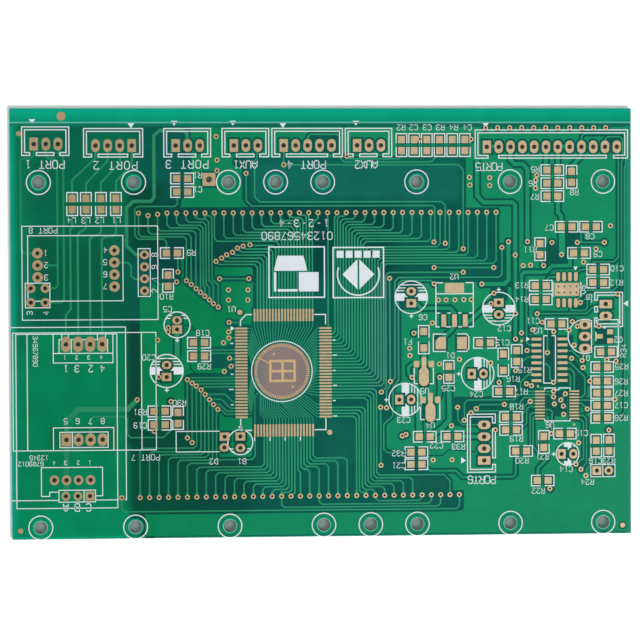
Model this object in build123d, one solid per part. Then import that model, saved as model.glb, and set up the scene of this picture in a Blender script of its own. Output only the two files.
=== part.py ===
from build123d import *
from dataclasses import dataclass
import math
import os

# Control board of an uninterruptible power supply, bare: a two-layer circuit board, etched,
# drilled, plated, masked and printed, with no component fitted yet.
#
# It is drawn flat with its lower left corner at (0, 0), x to the right along the long edge and
# y up, and then moved so that the origin is the centre of its underside and +Z points out of
# the component side. All sizes are millimetres.

# ---------------------------------------------------------------- driving dimensions

BOARD_W = 132.0
BOARD_H = 91.0

CORE_T = 1.48           # woven glass laminate
COAT_T = 0.06           # foil under its mask, or mask alone, levelled to one face
LAND_T = 0.05           # bare plated foil of a land, a little below the mask
LEGEND_T = 0.015        # printed ink
FLOOR_T = 0.01          # resin left bare in the die site

CORE_Z = COAT_T                   # underside of the laminate
TOP_Z = CORE_Z + CORE_T           # upper side of the laminate
FACE_Z = TOP_Z + COAT_T           # upper face of the mask

PIN_PITCH = 2.54
CHIP_PITCH = 0.65                 # leads of the 100-lead processor
ROW_PITCH = 2.0                   # the two long rows of vias

TRACK = 0.3
CLEARANCE = 0.45                  # gap between the ground pour and anything else
INK_LINE = 0.22
THIN_LINE = 0.18                  # outlines of the plug-in modules
VIA_LAND = 1.1
VIA_DRILL = 0.5
PLATING = 0.1                     # wall of a plated barrel
VIA_SIDES = 12                    # a via is drawn twelve-sided, which is round enough at 1 mm
DRILL_SIDES = 8

SCORE_Y = 88.0                    # V-score between the board and its handling rail
SCORE_W = 0.3
SCORE_DEPTH = 0.5

HOLE_D = 2.7
HOLE_MASK_D = 2.95
HOLE_POUR_D = 3.8
HOLE_RING_R = 2.52
TOP_HOLE_Y = 75.4
BOTTOM_HOLE_Y = 2.45
TOP_HOLE_X = (6, 26, 46, 56, 66, 86, 106, 126)
BOTTOM_HOLE_X = (6, 26, 46, 66, 76, 86, 106, 126)
HOLES = [(x, TOP_HOLE_Y) for x in TOP_HOLE_X] + [(x, BOTTOM_HOLE_Y) for x in BOTTOM_HOLE_X]

# ---------------------------------------------------------------- flat shapes


def block(x, y, w, h):
    return (Pos(x, y) * Rectangle(w, h)).face()


def box_between(x0, y0, x1, y1):
    return block((x0 + x1) / 2, (y0 + y1) / 2, x1 - x0, y1 - y0)


def disc(x, y, d):
    return (Pos(x, y) * Circle(d / 2)).face()


def small_disc(x, y, d, sides=VIA_SIDES):
    return (Pos(x, y) * RegularPolygon(d / 2, sides)).face()


def oval(x, y, w, h):
    if math.isclose(w, h):
        return disc(x, y, w)
    turn = 90 if h > w else 0
    return (Pos(x, y) * Rot(0, 0, turn) * SlotOverall(max(w, h), min(w, h))).face()


def ring(x, y, r, line):
    outer = (Pos(x, y) * Circle(r + line / 2)).wire()
    inner = (Pos(x, y) * Circle(r - line / 2)).wire()
    return Face(outer, [inner])


def polygon(points):
    return make_face(Polyline(*points, close=True)).face()


def beside(points, shift, closed):
    """Points of a line that runs beside a polyline, with mitred corners."""
    count = len(points)
    out = []
    for i, (x, y) in enumerate(points):
        before = points[i - 1] if closed or i > 0 else None
        after = points[(i + 1) % count] if closed or i < count - 1 else None
        ways = []
        if before:
            ways.append(unit(x - before[0], y - before[1]))
        if after:
            ways.append(unit(after[0] - x, after[1] - y))
        nx, ny = unit(-sum(w[1] for w in ways), sum(w[0] for w in ways))
        stretch = nx * -ways[0][1] + ny * ways[0][0]
        out.append((x + nx * shift / stretch, y + ny * shift / stretch))
    return out


def unit(dx, dy):
    length = math.hypot(dx, dy)
    return dx / length, dy / length


def stroke(points, width):
    """Band of one width along an open polyline."""
    left = beside(points, width / 2, False)
    right = beside(points, -width / 2, False)
    return polygon(left + right[::-1])


def loop(points, width):
    """Band of one width along a closed polyline."""
    a = Polyline(*beside(points, width / 2, True), close=True).wire()
    b = Polyline(*beside(points, -width / 2, True), close=True).wire()
    outer, inner = (a, b) if a.bounding_box().diagonal > b.bounding_box().diagonal else (b, a)
    return Face(outer, [inner])


def frame_line(x0, y0, x1, y1, line=INK_LINE):
    return loop([(x0, y0), (x1, y0), (x1, y1), (x0, y1)], line)


def margin(face, by):
    """A box that leaves a gap all round a face."""
    box = face.bounding_box()
    return box_between(box.min.X - by, box.min.Y - by, box.max.X + by, box.max.Y + by)


def prism(face, z, height):
    return Solid.extrude(face.moved(Pos(0, 0, z)), Vector(0, 0, height))


def flat_faces(shape):
    return list(shape.faces()) if shape is not None else []


def joined(faces):
    return flat_faces(faces[0] + faces[1:]) if len(faces) > 1 else list(faces)


def cut(faces, tools):
    """Faces with the tools taken away, where the tools come near."""
    left = []
    for face in faces:
        box = face.bounding_box()
        near = [t for t in tools if overlaps(box, t.bounding_box())]
        left += flat_faces(face - near) if near else [face]
    return left


def overlaps(a, b):
    return (a.min.X < b.max.X and b.min.X < a.max.X
            and a.min.Y < b.max.Y and b.min.Y < a.max.Y)


# ---------------------------------------------------------------- plated holes


@dataclass(frozen=True)
class Plated:
    """A plated hole with a land on each side: round, square or oval."""
    x: float
    y: float
    w: float
    h: float
    drill: float
    square: bool = False
    poured: bool = False        # joined to the ground pour

    def land(self, grow=0.0):
        if self.square:
            return block(self.x, self.y, self.w + 2 * grow, self.h + 2 * grow)
        if self.drill == VIA_DRILL:
            return small_disc(self.x, self.y, self.w + 2 * grow)
        return oval(self.x, self.y, self.w + 2 * grow, self.h + 2 * grow)

    def bore(self, grow=0.0):
        if self.drill == VIA_DRILL:
            return small_disc(self.x, self.y, self.drill + 2 * grow, DRILL_SIDES)
        return disc(self.x, self.y, self.drill + 2 * grow)

    def solid(self):
        """An eyelet: two lands joined by a barrel, with the bore taken out in one piece."""
        low = prism(self.land(), COAT_T - LAND_T, LAND_T)
        barrel = prism(self.bore(PLATING), CORE_Z, CORE_T)
        high = prism(self.land(), TOP_Z, LAND_T)
        return (low + [barrel, high] - prism(self.bore(), 0, FACE_Z)).solid()


def via(x, y, poured=False):
    return Plated(x, y, VIA_LAND, VIA_LAND, VIA_DRILL, poured=poured)


@dataclass(frozen=True)
class Header:
    """A keyed wire-to-board connector: a row of lands inside a double outline."""
    x: float                    # first land
    y: float
    pins: int
    square_pin: int = 0         # which land is square
    turn: float = 0.0           # direction of the row
    notch: float = 0.0          # how far in from the end pins the outline's gaps lie
    mark: tuple = None          # centre of the pin 1 mark

    LAND_W = 1.8
    LAND_L = 2.7
    DRILL = 1.0
    BEFORE = 2.5
    AFTER = 2.3
    BEHIND = 3.6
    FRONT = 2.4
    WALL = 0.6

    def at(self, u, v):
        c, s = math.cos(math.radians(self.turn)), math.sin(math.radians(self.turn))
        return (self.x + u * c - v * s, self.y + u * s + v * c)

    def lands(self):
        along_x = self.turn % 180 == 0
        w, h = (self.LAND_W, self.LAND_L) if along_x else (self.LAND_L, self.LAND_W)
        out = []
        for pin in range(self.pins):
            x, y = self.at(pin * PIN_PITCH, 0)
            out.append(Plated(x, y, w, h, self.DRILL, square=pin == self.square_pin))
        return out

    def outline(self):
        last = (self.pins - 1) * PIN_PITCH
        low, high = -self.FRONT, self.BEHIND
        left, right = -self.BEFORE, last + self.AFTER
        stub_a, bar_a = self.notch - 0.85, self.notch * 1.8 + 0.55
        bar_b, stub_b = last - self.notch * 1.3 - 0.85, last - self.notch + 0.4
        wall = self.WALL
        shell = [(stub_a, low), (left, low), (left, high), (right, high), (right, low),
                 (stub_b, low), (stub_b, low + wall), (right - wall, low + wall),
                 (right - wall, high - wall), (left + wall, high - wall),
                 (left + wall, low + wall), (stub_a, low + wall)]
        bar = [(bar_a, low), (bar_b, low), (bar_b, low + wall), (bar_a, low + wall)]
        return [loop([self.at(u, v) for u, v in points], INK_LINE) for points in (shell, bar)]

    def pin_mark(self):
        if self.mark is None:
            return []
        x, y = self.mark
        c, s = math.cos(math.radians(self.turn)), math.sin(math.radians(self.turn))
        corners = [(-0.7, 0.5), (0.7, 0.5), (0.0, -0.5)]
        return [polygon([(x + u * c - v * s, y + u * s + v * c) for u, v in corners])]


HEADERS = {
    "J1": Header(5.06, 83.5, 3, mark=(4.75, 88.2)),
    "J2": Header(18.03, 83.15, 4, square_pin=3, mark=(25.5, 87.35)),
    "J3": Header(34.9, 83.15, 3, mark=(34.6, 87.85)),
    "J4": Header(47.2, 83.15, 3, mark=(47.0, 87.85)),
    "J5": Header(57.75, 83.15, 5, mark=(57.6, 87.35)),
    "J6": Header(73.35, 83.15, 3, mark=(73.1, 87.85)),
    "J7": Header(101.05, 82.8, 12, notch=1.1, mark=(100.8, 87.4)),
    "J8": Header(100.36, 15.9, 4, turn=90, mark=(95.9, 15.95)),
    "J9": Header(126.6, 49.2, 2, turn=-90, mark=(130.9, 49.3)),
}


@dataclass(frozen=True)
class Capacitor:
    """Footprint of an upright can: a circle, two lands and a shaded negative half."""
    x: float
    y: float
    r: float
    turn: float                 # direction from the square land to the round one
    half_pitch: float = 1.27
    band: bool = True

    LAND_ALONG = 1.75
    LAND_ACROSS = 2.08
    DRILL = 0.9
    BAND = (-0.75, 0.85)
    HATCH = (1.4, 2.0, 2.65)
    HATCH_LINE = 0.22
    PLUS = 0.42

    def at(self, u, v):
        c, s = math.cos(math.radians(self.turn)), math.sin(math.radians(self.turn))
        return (self.x + u * c - v * s, self.y + u * s + v * c)

    def lands(self):
        along_x = self.turn % 180 == 0
        size = (self.LAND_ALONG, self.LAND_ACROSS)
        w, h = size if along_x else size[::-1]
        out = []
        for side in (-1, 1):
            x, y = self.at(side * self.half_pitch, 0)
            out.append(Plated(x, y, w, h, self.DRILL, square=side < 0))
        return out

    def marks(self):
        out = [ring(self.x, self.y, self.r, INK_LINE)]
        inside = disc(self.x, self.y, 2 * self.r - INK_LINE)
        keep_off = [land.land(CLEARANCE) for land in self.lands()]
        bars = [stroke([self.at(u, -self.r), self.at(u, self.r)], self.HATCH_LINE)
                for u in self.HATCH if u < self.r - 0.3]
        if self.band:
            a, b = self.BAND
            bars.append(stroke([self.at((a + b) / 2, -self.r), self.at((a + b) / 2, self.r)], b - a))
        for bar in bars:
            out += cut(flat_faces(bar & inside), keep_off)
        px, py = self.at(-self.r - 0.55, 0)
        out += joined([block(px, py, 2 * self.PLUS, INK_LINE), block(px, py, INK_LINE, 2 * self.PLUS)])
        return out


CAPACITORS = [
    Capacitor(84.8, 50.85, 3.47, 90),
    Capacitor(103.55, 48.35, 3.5, -90),
    Capacitor(32.75, 35.48, 3.5, 90),
    Capacitor(35.0, 45.25, 2.75, 90, half_pitch=0.97, band=False),
    Capacitor(98.98, 34.45, 3.5, 0),
    Capacitor(83.45, 29.05, 3.5, 0),
    Capacitor(118.3, 17.14, 2.45, 0),
]
BUZZER = Capacitor(48.28, 20.25, 2.65, -90, half_pitch=1.22, band=False)


@dataclass(frozen=True)
class Chip:
    """Footprint of a two-ended chip part: two lands in a split ink box."""
    x: float
    y: float
    upright: bool = False
    half_pitch: float = 1.17

    LAND_L = 1.55
    LAND_W = 1.45
    BOX_END = 1.25              # from a land's centre to the end of the box
    BOX_W = 2.25
    GAP = 0.85

    def turned(self, u, v):
        return (self.x - v, self.y + u) if self.upright else (self.x + u, self.y + v)

    def lands(self, grow=0.0):
        out = []
        for side in (-1, 1):
            x, y = self.turned(side * self.half_pitch, 0)
            size = (self.LAND_L + 2 * grow, self.LAND_W + 2 * grow)
            w, h = size[::-1] if self.upright else size
            out.append(block(x, y, w, h))
        return out

    def marks(self):
        end = self.half_pitch + self.BOX_END
        side = self.BOX_W / 2
        half = self.GAP / 2
        out = []
        for s in (-1, 1):
            points = [(s * half, side), (s * end, side), (s * end, -side), (s * half, -side)]
            out.append(stroke([self.turned(u, v) for u, v in points], INK_LINE))
        return out


def chips(places, upright=False, half_pitch=1.17):
    return [Chip(x, y, upright, half_pitch) for x, y in places]


LONG_CHIP = 1.75
CHIPS = (
    chips([(36.25, 76.2), (36.25, 73.35), (34.0, 60.45), (39.62, 41.45), (39.62, 38.6),
           (31.2, 26.95), (31.2, 24.1)])
    + chips([(115.1, 77.85), (115.1, 75.05), (115.1, 72.3), (118.15, 65.75), (123.4, 65.75),
             (120.83, 60.15), (124.95, 56.6), (124.95, 53.8), (112.58, 53.2), (112.58, 50.25)])
    + chips([(115.95, 45.0), (100.57, 41.05), (104.67, 30.65), (106.13, 25.15), (106.13, 22.4),
             (108.3, 17.85), (117.75, 21.5), (112.95, 11.5)])
    + chips([(85.8, 17.8), (85.8, 15.2), (87.6, 21.1), (93.55, 21.1)])
    + chips([(126.65, 38.95)] + [(125.8, y) for y in (35.7, 32.7, 30.15, 27.5, 24.85)])
    + chips([(13.05, 70.85), (15.95, 70.85), (19.1, 70.85), (22.25, 70.85)], upright=True)
    + chips([(82.8 + 2.71 * k, 83.2) for k in range(6)], upright=True)
    + chips([(119.25, 76.4), (33.15, 54.6), (112.45, 61.0), (35.1, 25.5), (92.8, 34.9),
             (107.4, 38.2), (113.2, 19.75), (124.5, 18.85), (127.25, 18.9)], upright=True)
    + chips([(87.45, 41.8), (104.5, 36.9)], upright=True, half_pitch=LONG_CHIP)
)

# ---------------------------------------------------------------- plain pins and vias

MODULE_PINS = (
    [Plated(5.7, y, 2.25, 2.25, 0.9) for y in (60.5, 57.95, 55.4)]
    + [Plated(21.85, y, 2.2, 2.2, 0.9) for y in (61.05, 58.5, 55.95, 53.4)]
    + [Plated(x, y, 1.93, 1.93, 0.9) for x in (4.25, 7.28) for y in (53.1, 50.1)]
    + [Plated(28.2, 60.1 - PIN_PITCH * k, 1.9, 1.9, 0.9) for k in range(4)]
    + [Plated(11.56 + PIN_PITCH * k, 41.25, 2.1, 3.2, 1.0) for k in range(4)]
    + [Plated(11.53 + PIN_PITCH * k, 21.05, 2.1, 2.65, 1.0, square=k == 0) for k in range(4)]
    + [Plated(8.95 + PIN_PITCH * k, 12.5, 1.95, 2.1, 1.0) for k in range(4)]
    + [Plated(11.33 + PIN_PITCH * k, 9.1, 1.85, 1.9, 0.9, square=k == 2) for k in range(3)]
)
JUMPER_PINS = [
    Plated(41.9, 76.0, 2.74, 2.74, 1.3, square=True),
    Plated(44.95, 21.45, 2.1, 1.75, 0.9, square=True),
    Plated(44.9, 19.15, 2.05, 1.8, 0.9),
    Plated(124.65, 13.5, 1.95, 1.86, 0.9, square=True),
    Plated(127.22, 13.5, 1.85, 1.85, 0.9),
]
TRANSISTOR_PINS = [Plated(122.1, y, 2.58, 1.9, 1.0) for y in (44.8, 42.28, 39.75)]

ROW_X0 = 27.0
UPPER_ROW_Y = 68.9
LOWER_ROW_Y = 8.65
UPPER_ROW_DIPS = {1: 0.5, 2: 0.25}
UPPER_ROW = [via(ROW_X0 + ROW_PITCH * k, UPPER_ROW_Y - UPPER_ROW_DIPS.get(k, 0.0)) for k in range(39)]
LOWER_ROW = [via(ROW_X0 + ROW_PITCH * k, LOWER_ROW_Y) for k in range(35)] + [via(23.1, LOWER_ROW_Y)]

# Three slanted groups beside the processor, each on a shallow curve.
UPPER_SLANT = [(37.05, 54.6), (38.05, 53.8), (39.05, 52.9), (40.0, 52.1),
               (40.9, 51.3), (41.85, 50.5), (42.7, 49.7), (43.75, 48.95)]
RISING_SLANT = [(43.3, 58.65), (44.5, 59.35), (45.55, 60.05), (46.8, 60.55),
                (47.85, 61.45), (49.05, 61.85), (50.5, 62.15)]
LOWER_SLANT = [(37.1, 33.62), (38.1, 32.9), (39.0, 32.25), (40.0, 31.42),
               (40.86, 30.43), (41.78, 29.35), (42.61, 28.3), (43.53, 27.27)]
SLANT_VIAS = [via(x, y) for x, y in UPPER_SLANT + RISING_SLANT + LOWER_SLANT]

CONNECTOR_VIAS = [via(100.8 + 2.58 * k, 86.87) for k in range(11)]

POURED_VIAS = [
    (43.45, 85.05), (43.6, 80.1), (43.6, 77.85), (45.9, 52.6), (50.05, 52.6), (45.9, 50.45),
    (50.0, 50.45), (45.9, 43.7), (45.95, 42.4), (44.8, 41.4), (44.95, 35.3), (30.05, 22.7),
    (97.3, 76.35), (97.4, 74.7), (101.65, 76.25), (101.65, 74.6), (111.75, 76.75),
    (111.55, 75.7), (111.5, 74.0), (127.6, 65.95), (124.5, 61.0), (121.8, 58.2),
    (108.8, 57.5), (110.4, 57.6), (90.6, 50.25), (92.25, 50.25), (94.15, 50.25),
    (96.05, 50.3), (97.65, 50.3), (89.3, 45.35), (84.43, 39.95), (84.47, 38.45),
    (90.8, 36.6), (95.1, 37.55), (101.77, 36.75), (119.75, 40.45), (118.65, 43.65),
    (89.4, 16.1), (93.45, 16.1), (120.7, 19.5), (122.25, 12.45), (30.85, 42.05),
    (33.17, 44.65), (33.1, 43.75), (115.48, 27.87), (117.43, 27.42), (117.5, 25.63),
    (126.8, 37.3), (121.67, 35.63), (128.58, 28.77), (93.34, 23.4), (120.45, 44.47),
]
SIGNAL_VIAS = [
    (35.25, 56.45), (34.95, 54.35), (44.05, 54.95), (50.25, 54.95), (46.0, 45.7),
    (46.07, 38.1), (46.38, 36.4), (33.62, 29.0), (26.5, 29.45), (31.1, 34.2),
    (37.07, 21.25), (38.05, 20.25), (49.75, 77.25), (57.75, 79.05), (71.2, 80.85),
    (86.75, 84.5), (97.7, 84.45), (89.7, 62.6), (92.1, 62.3), (95.95, 61.15),
    (89.7, 57.15), (95.95, 56.15), (80.2, 54.9), (89.7, 53.7), (99.9, 53.6),
    (105.65, 62.6), (104.25, 61.4), (107.1, 59.75), (109.75, 62.6), (115.0, 62.4),
    (120.45, 62.4), (126.3, 62.4), (113.2, 57.5), (102.5, 57.1), (117.05, 59.8),
    (102.5, 51.65), (101.9, 49.4), (107.15, 47.25), (111.8, 47.2), (121.1, 49.55),
    (129.15, 51.35), (112.9, 45.4), (119.35, 45.5), (110.86, 43.8), (115.37, 43.35),
    (108.41, 43.13), (107.15, 41.8), (109.6, 39.35), (114.0, 38.87), (119.22, 37.63),
    (121.5, 37.14), (107.15, 35.07), (109.47, 32.25), (110.56, 31.82), (115.3, 32.5),
    (103.6, 32.58), (128.8, 37.0), (123.15, 32.7), (115.3, 30.59), (115.3, 29.4),
    (116.85, 28.72), (117.86, 30.03), (122.57, 26.75), (110.25, 28.45), (104.73, 27.85),
    (98.67, 27.0), (97.53, 26.1), (96.1, 24.53), (94.68, 27.3), (90.85, 33.77),
    (85.35, 43.2), (84.92, 33.77), (80.26, 32.92), (78.35, 30.7), (78.17, 27.45),
    (79.45, 27.33), (82.79, 21.3), (83.6, 21.6), (78.24, 15.08), (102.78, 22.45),
    (114.83, 21.54), (120.12, 14.92), (121.2, 13.8), (114.5, 9.72), (127.25, 22.2),
    (125.1, 44.47),
]
LOOSE_VIAS = ([via(x, y, poured=True) for x, y in POURED_VIAS]
              + [via(x, y) for x, y in SIGNAL_VIAS])

# ---------------------------------------------------------------- lands of the chips

PROCESSOR_LEFT = 48.57
PROCESSOR_RIGHT = 66.47
PROCESSOR_TOP = 47.2
PROCESSOR_BOTTOM = 22.7
PROCESSOR_LAND = (2.6, 0.4)
SIDE_LEADS = 30
END_LEADS = 20


def side_y(k):
    return 44.4 - CHIP_PITCH * k


def end_x(j):
    return 51.4 + CHIP_PITCH * j


def processor_lands():
    long, wide = PROCESSOR_LAND
    sides = [block(x, side_y(k), long, wide) for x in (PROCESSOR_LEFT, PROCESSOR_RIGHT)
             for k in range(SIDE_LEADS)]
    ends = [block(end_x(j), y, wide, long) for y in (PROCESSOR_TOP, PROCESSOR_BOTTOM)
            for j in range(END_LEADS)]
    return sides + ends


DRIVER_LANDS = [block(x, 41.78 - 1.27 * k, 2.13, 0.6) for x in (111.64, 117.25) for k in range(8)]
PORT_LANDS = [block(x, 30.59 - 0.651 * k, 2.09, 0.33) for x in (112.38, 119.76) for k in range(10)]
CONVERTER_LANDS = [oval(116.33 + 1.27 * k, y, 0.8, 2.0) for y in (55.1, 49.5) for k in range(4)]
CONVERTER_PAD = (115.55, 51.0, 120.85, 53.75)
CONVERTER_DRILLS = [(116.4 + 1.3 * k, y) for y in (53.0, 51.7) for k in range(4)]
CONVERTER_DRILL = 0.4
REGULATOR_LANDS = ([box_between(92.0, 51.75, 96.1, 53.85)]
                   + [box_between(x - 0.52, 44.5, x + 0.52, 47.15) for x in (91.75, 94.05, 96.35)])
DIODE_LANDS = [
    polygon([(90.75, 42.36), (92.2, 42.36), (92.2, 39.76), (90.0, 39.76), (90.0, 41.5)]),
    box_between(94.6, 39.76, 96.7, 42.36),
]


def tab_transistor(x, y):
    """Three-lead tab package: a long tab land with two side lands level with its neck."""
    neck = box_between(x - 0.5, y - 1.4, x + 0.5, y + 1.2)
    tab = oval(x, y - 3.0, 2.13, 4.0)
    return joined([neck, tab]) + [block(x - 1.6, y - 0.3, 1.15, 1.35), block(x + 1.58, y - 0.3, 1.15, 1.35)]


TRANSISTOR_LANDS = (
    tab_transistor(87.48, 36.9) + tab_transistor(88.85, 29.25)
    + [block(125.2, 42.3, 1.5, 0.95), block(127.53, 43.26, 1.3, 1.08), block(127.53, 41.33, 1.3, 1.08)]
)

FIDUCIALS = [(10.85, 89.35, 1.86), (1.95, 85.7, 1.1), (1.75, 1.8, 1.1), (130.2, 1.73, 1.1),
             (48.3, 47.85, 1.15), (67.3, 22.2, 1.1)]
TEST_DOTS = [(108.48, 41.4, 0.6), (111.93, 31.7, 0.5), (119.74, 23.45, 0.5)]

# ---------------------------------------------------------------- bare die site

DIE_X, DIE_Y = 57.17, 35.25
WINDOW_R = 5.98
FINGERS = 87
FIRST_FINGER = -63.4              # degrees, the finger of the lowest land on the right
FINGER_R = (5.22, 5.9)
FINGER_W = 0.2
DIE_RING_R = 6.44
DIE_RING_LINE = 0.2
DIE_PAD = (54.46, 32.97, 60.13, 37.71)
DIE_BAR = 0.53
DIE_CROSS = (57.31, 35.3)


def around(r, degrees):
    a = math.radians(degrees)
    return (DIE_X + r * math.cos(a), DIE_Y + r * math.sin(a))


def finger_angle(i):
    return FIRST_FINGER + 360.0 * i / FINGERS


def bond_fingers():
    return [stroke([around(FINGER_R[0], finger_angle(i)), around(FINGER_R[1], finger_angle(i))],
                   FINGER_W) for i in range(FINGERS)]


def die_pad():
    x0, y0, x1, y1 = DIE_PAD
    half = DIE_BAR / 2
    rim = frame_line(x0 + half, y0 + half, x1 - half, y1 - half, DIE_BAR)
    cross_x, cross_y = DIE_CROSS
    upright = box_between(cross_x - half, y0 + half, cross_x + half, y1 - half)
    level = box_between(x0 + half, cross_y - half, x1 - half, cross_y + half)
    tie = stroke([(x0 + 0.2, y1 - 0.8), (52.0, 38.22)], 0.22)
    pad = joined([rim, upright, level, tie])
    return pad + [small_disc(55.46, 38.92, 0.5), small_disc(59.43, 31.95, 0.5)]


FAN_W = 0.17
FAN_R = DIE_RING_R + 0.29          # where a track turns in toward its finger
FAN_LEVEL = PROCESSOR_BOTTOM + 2.65
LAND_END = PROCESSOR_LAND[0] / 2 - 0.1
UNWIRED_RIGHT = (23, 24)
UNWIRED_BELOW = (1, 2)
WIRED_LEFT_UPPER = range(8)
WIRED_LEFT_LOWER = range(24, 29)
FREE_LEFT = 6                     # fingers between the upper and the lower tracks on the left
FREE_CORNER = 2                   # fingers between the left tracks and those from below
RIGHT_STUB = 0.7                  # straight run out of a land before its track turns aslant
TOP_STUB = 1.3
LEFT_STUB = 0.1
UPPER_LEFT_STEP = 0.14            # how much longer each stub is than its neighbour's
LOWER_LEFT_STEP = 0.18
LEAST_RISE = 0.3                  # of the last upright run, below which it is left out
FINGER_LAP = 0.03                 # of a track into its finger


def straight_out(x, y, dx, dy, length):
    """Square out of a land, then aslant to the ring."""
    return lambda finger: [(x, y), (x + length * dx, y + length * dy), finger]


def from_below(x, y):
    """Up from a lower land, slanted to its finger's column and up to the ring."""
    def route(finger):
        column, end = finger
        run = x - column
        if run < 0:
            return [(x, y), (x, end + run), finger]
        if FAN_LEVEL + run < end - LEAST_RISE:
            return [(x, y), (x, FAN_LEVEL), (column, FAN_LEVEL + run), finger]
        return [(x, y), (x, FAN_LEVEL), finger]
    return route


def fan_tracks():
    """From the inner end of each wired processor land in to its own bond finger."""
    left, right = PROCESSOR_LEFT + LAND_END, PROCESSOR_RIGHT - LAND_END
    above, below = PROCESSOR_TOP - LAND_END, PROCESSOR_BOTTOM + LAND_END
    routes = [straight_out(right, side_y(k), -1, 0, RIGHT_STUB) for k in reversed(range(SIDE_LEADS))
              if k not in UNWIRED_RIGHT]
    routes += [straight_out(end_x(j), above, 0, -1, TOP_STUB) for j in reversed(range(END_LEADS))]
    routes += [straight_out(left, side_y(k), 1, 0, LEFT_STUB + UPPER_LEFT_STEP * (WIRED_LEFT_UPPER[-1] - k))
               for k in WIRED_LEFT_UPPER]
    routes += [None] * FREE_LEFT
    routes += [straight_out(left, side_y(k), 1, 0, LEFT_STUB + LOWER_LEFT_STEP * (k - WIRED_LEFT_LOWER[0]))
               for k in WIRED_LEFT_LOWER]
    routes += [None] * FREE_CORNER
    routes += [from_below(end_x(j), below) for j in range(END_LEADS) if j not in UNWIRED_BELOW]
    return [(FAN_W, route(around(FAN_R, finger_angle(i)))
             + [around(FINGER_R[1] - FINGER_LAP, finger_angle(i))])
            for i, route in enumerate(routes) if route]


# ---------------------------------------------------------------- tracks
# Each track is a width and the points it runs through.

CORNER = 0.6
WIDE = 0.85
FEED = 0.43
MAIN_FEED = 0.7


def stepped(start, level, end, corner=CORNER):
    """Up or down to a level, along it, and up or down to the end, with its corners cut."""
    (xa, ya), (xb, yb) = start, end
    along = 1 if xb > xa else -1
    into = 1 if level > ya else -1
    out = 1 if yb > level else -1
    c = min(corner, 0.7 * abs(level - ya), 0.4 * abs(xb - xa))
    return [start, (xa, level - into * c), (xa + along * c, level), (xb - along * c, level),
            (xb, level + out * c), end]


def upper_bus():
    """From the upper row of vias down to the slanted groups and the processor."""
    out = []
    inside_top = PROCESSOR_TOP + 1.1
    inside_right = PROCESSOR_RIGHT + 1.1
    row = [(v.x, v.y) for v in UPPER_ROW]
    left = [(63.9, 37.05, 0), (64.5, 38.05, 0), (65.15, 39.05, 0), (65.75, 40.0, 0),
            (66.3, 40.6, 53.5), (66.95, 41.2, 53.8), (67.6, 41.8, 54.7), (68.3, 42.45, 54.9)]
    for start, (level, column, jog), end in zip(row, left, UPPER_SLANT):
        if jog:
            path = stepped(start, level, (column, jog))
            out.append((TRACK, path + [(end[0], jog - (end[0] - column)), end]))
        else:
            out.append((TRACK, stepped(start, level, end)))
    for i in range(9):
        out.append((TRACK, stepped(row[8 + i], 62.9 + 0.62 * i, (end_x(8 + i), inside_top))))
    out.append((TRACK, stepped(row[17], 68.4, (end_x(17), inside_top))))
    out.append((TRACK, [row[18], (63.0, 67.5), (63.1, 67.3), (63.1, inside_top)]))
    out.append((TRACK, [row[19], (65.0, 67.8), (63.75, 66.55), (63.75, inside_top)]))
    out.append((TRACK, [row[20], (67.0, 68.0), (67.07, 67.6), (67.07, side_y(0))]))
    out.append((TRACK, [row[21], (69.0, 68.4), (68.5, 67.9), (68.5, side_y(2) + CORNER),
                        (68.5 - CORNER, side_y(2)), (inside_right, side_y(2))]))
    for i in range(1, 18):
        level = 68.15 - 0.6 * (i - 1) if i < 11 else 61.6 - 0.6 * (i - 11)
        column = 68.5 + 0.612 * i
        y = side_y(2 + i)
        path = stepped(row[21 + i], level, (column, y + CORNER))
        out.append((TRACK, path + [(column - CORNER, y), (inside_right, y)]))
    levels = (57.98, 58.6, 59.3, 59.95, 60.6, 61.25, 62.0)
    for i, ((x, y), level) in enumerate(zip(RISING_SLANT, levels)):
        column = end_x(1 + i)
        out.append((TRACK, [(x, y), (x + abs(y - level), level), (column - CORNER, level),
                            (column, level - CORNER), (column, inside_top)]))
    return out


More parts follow.
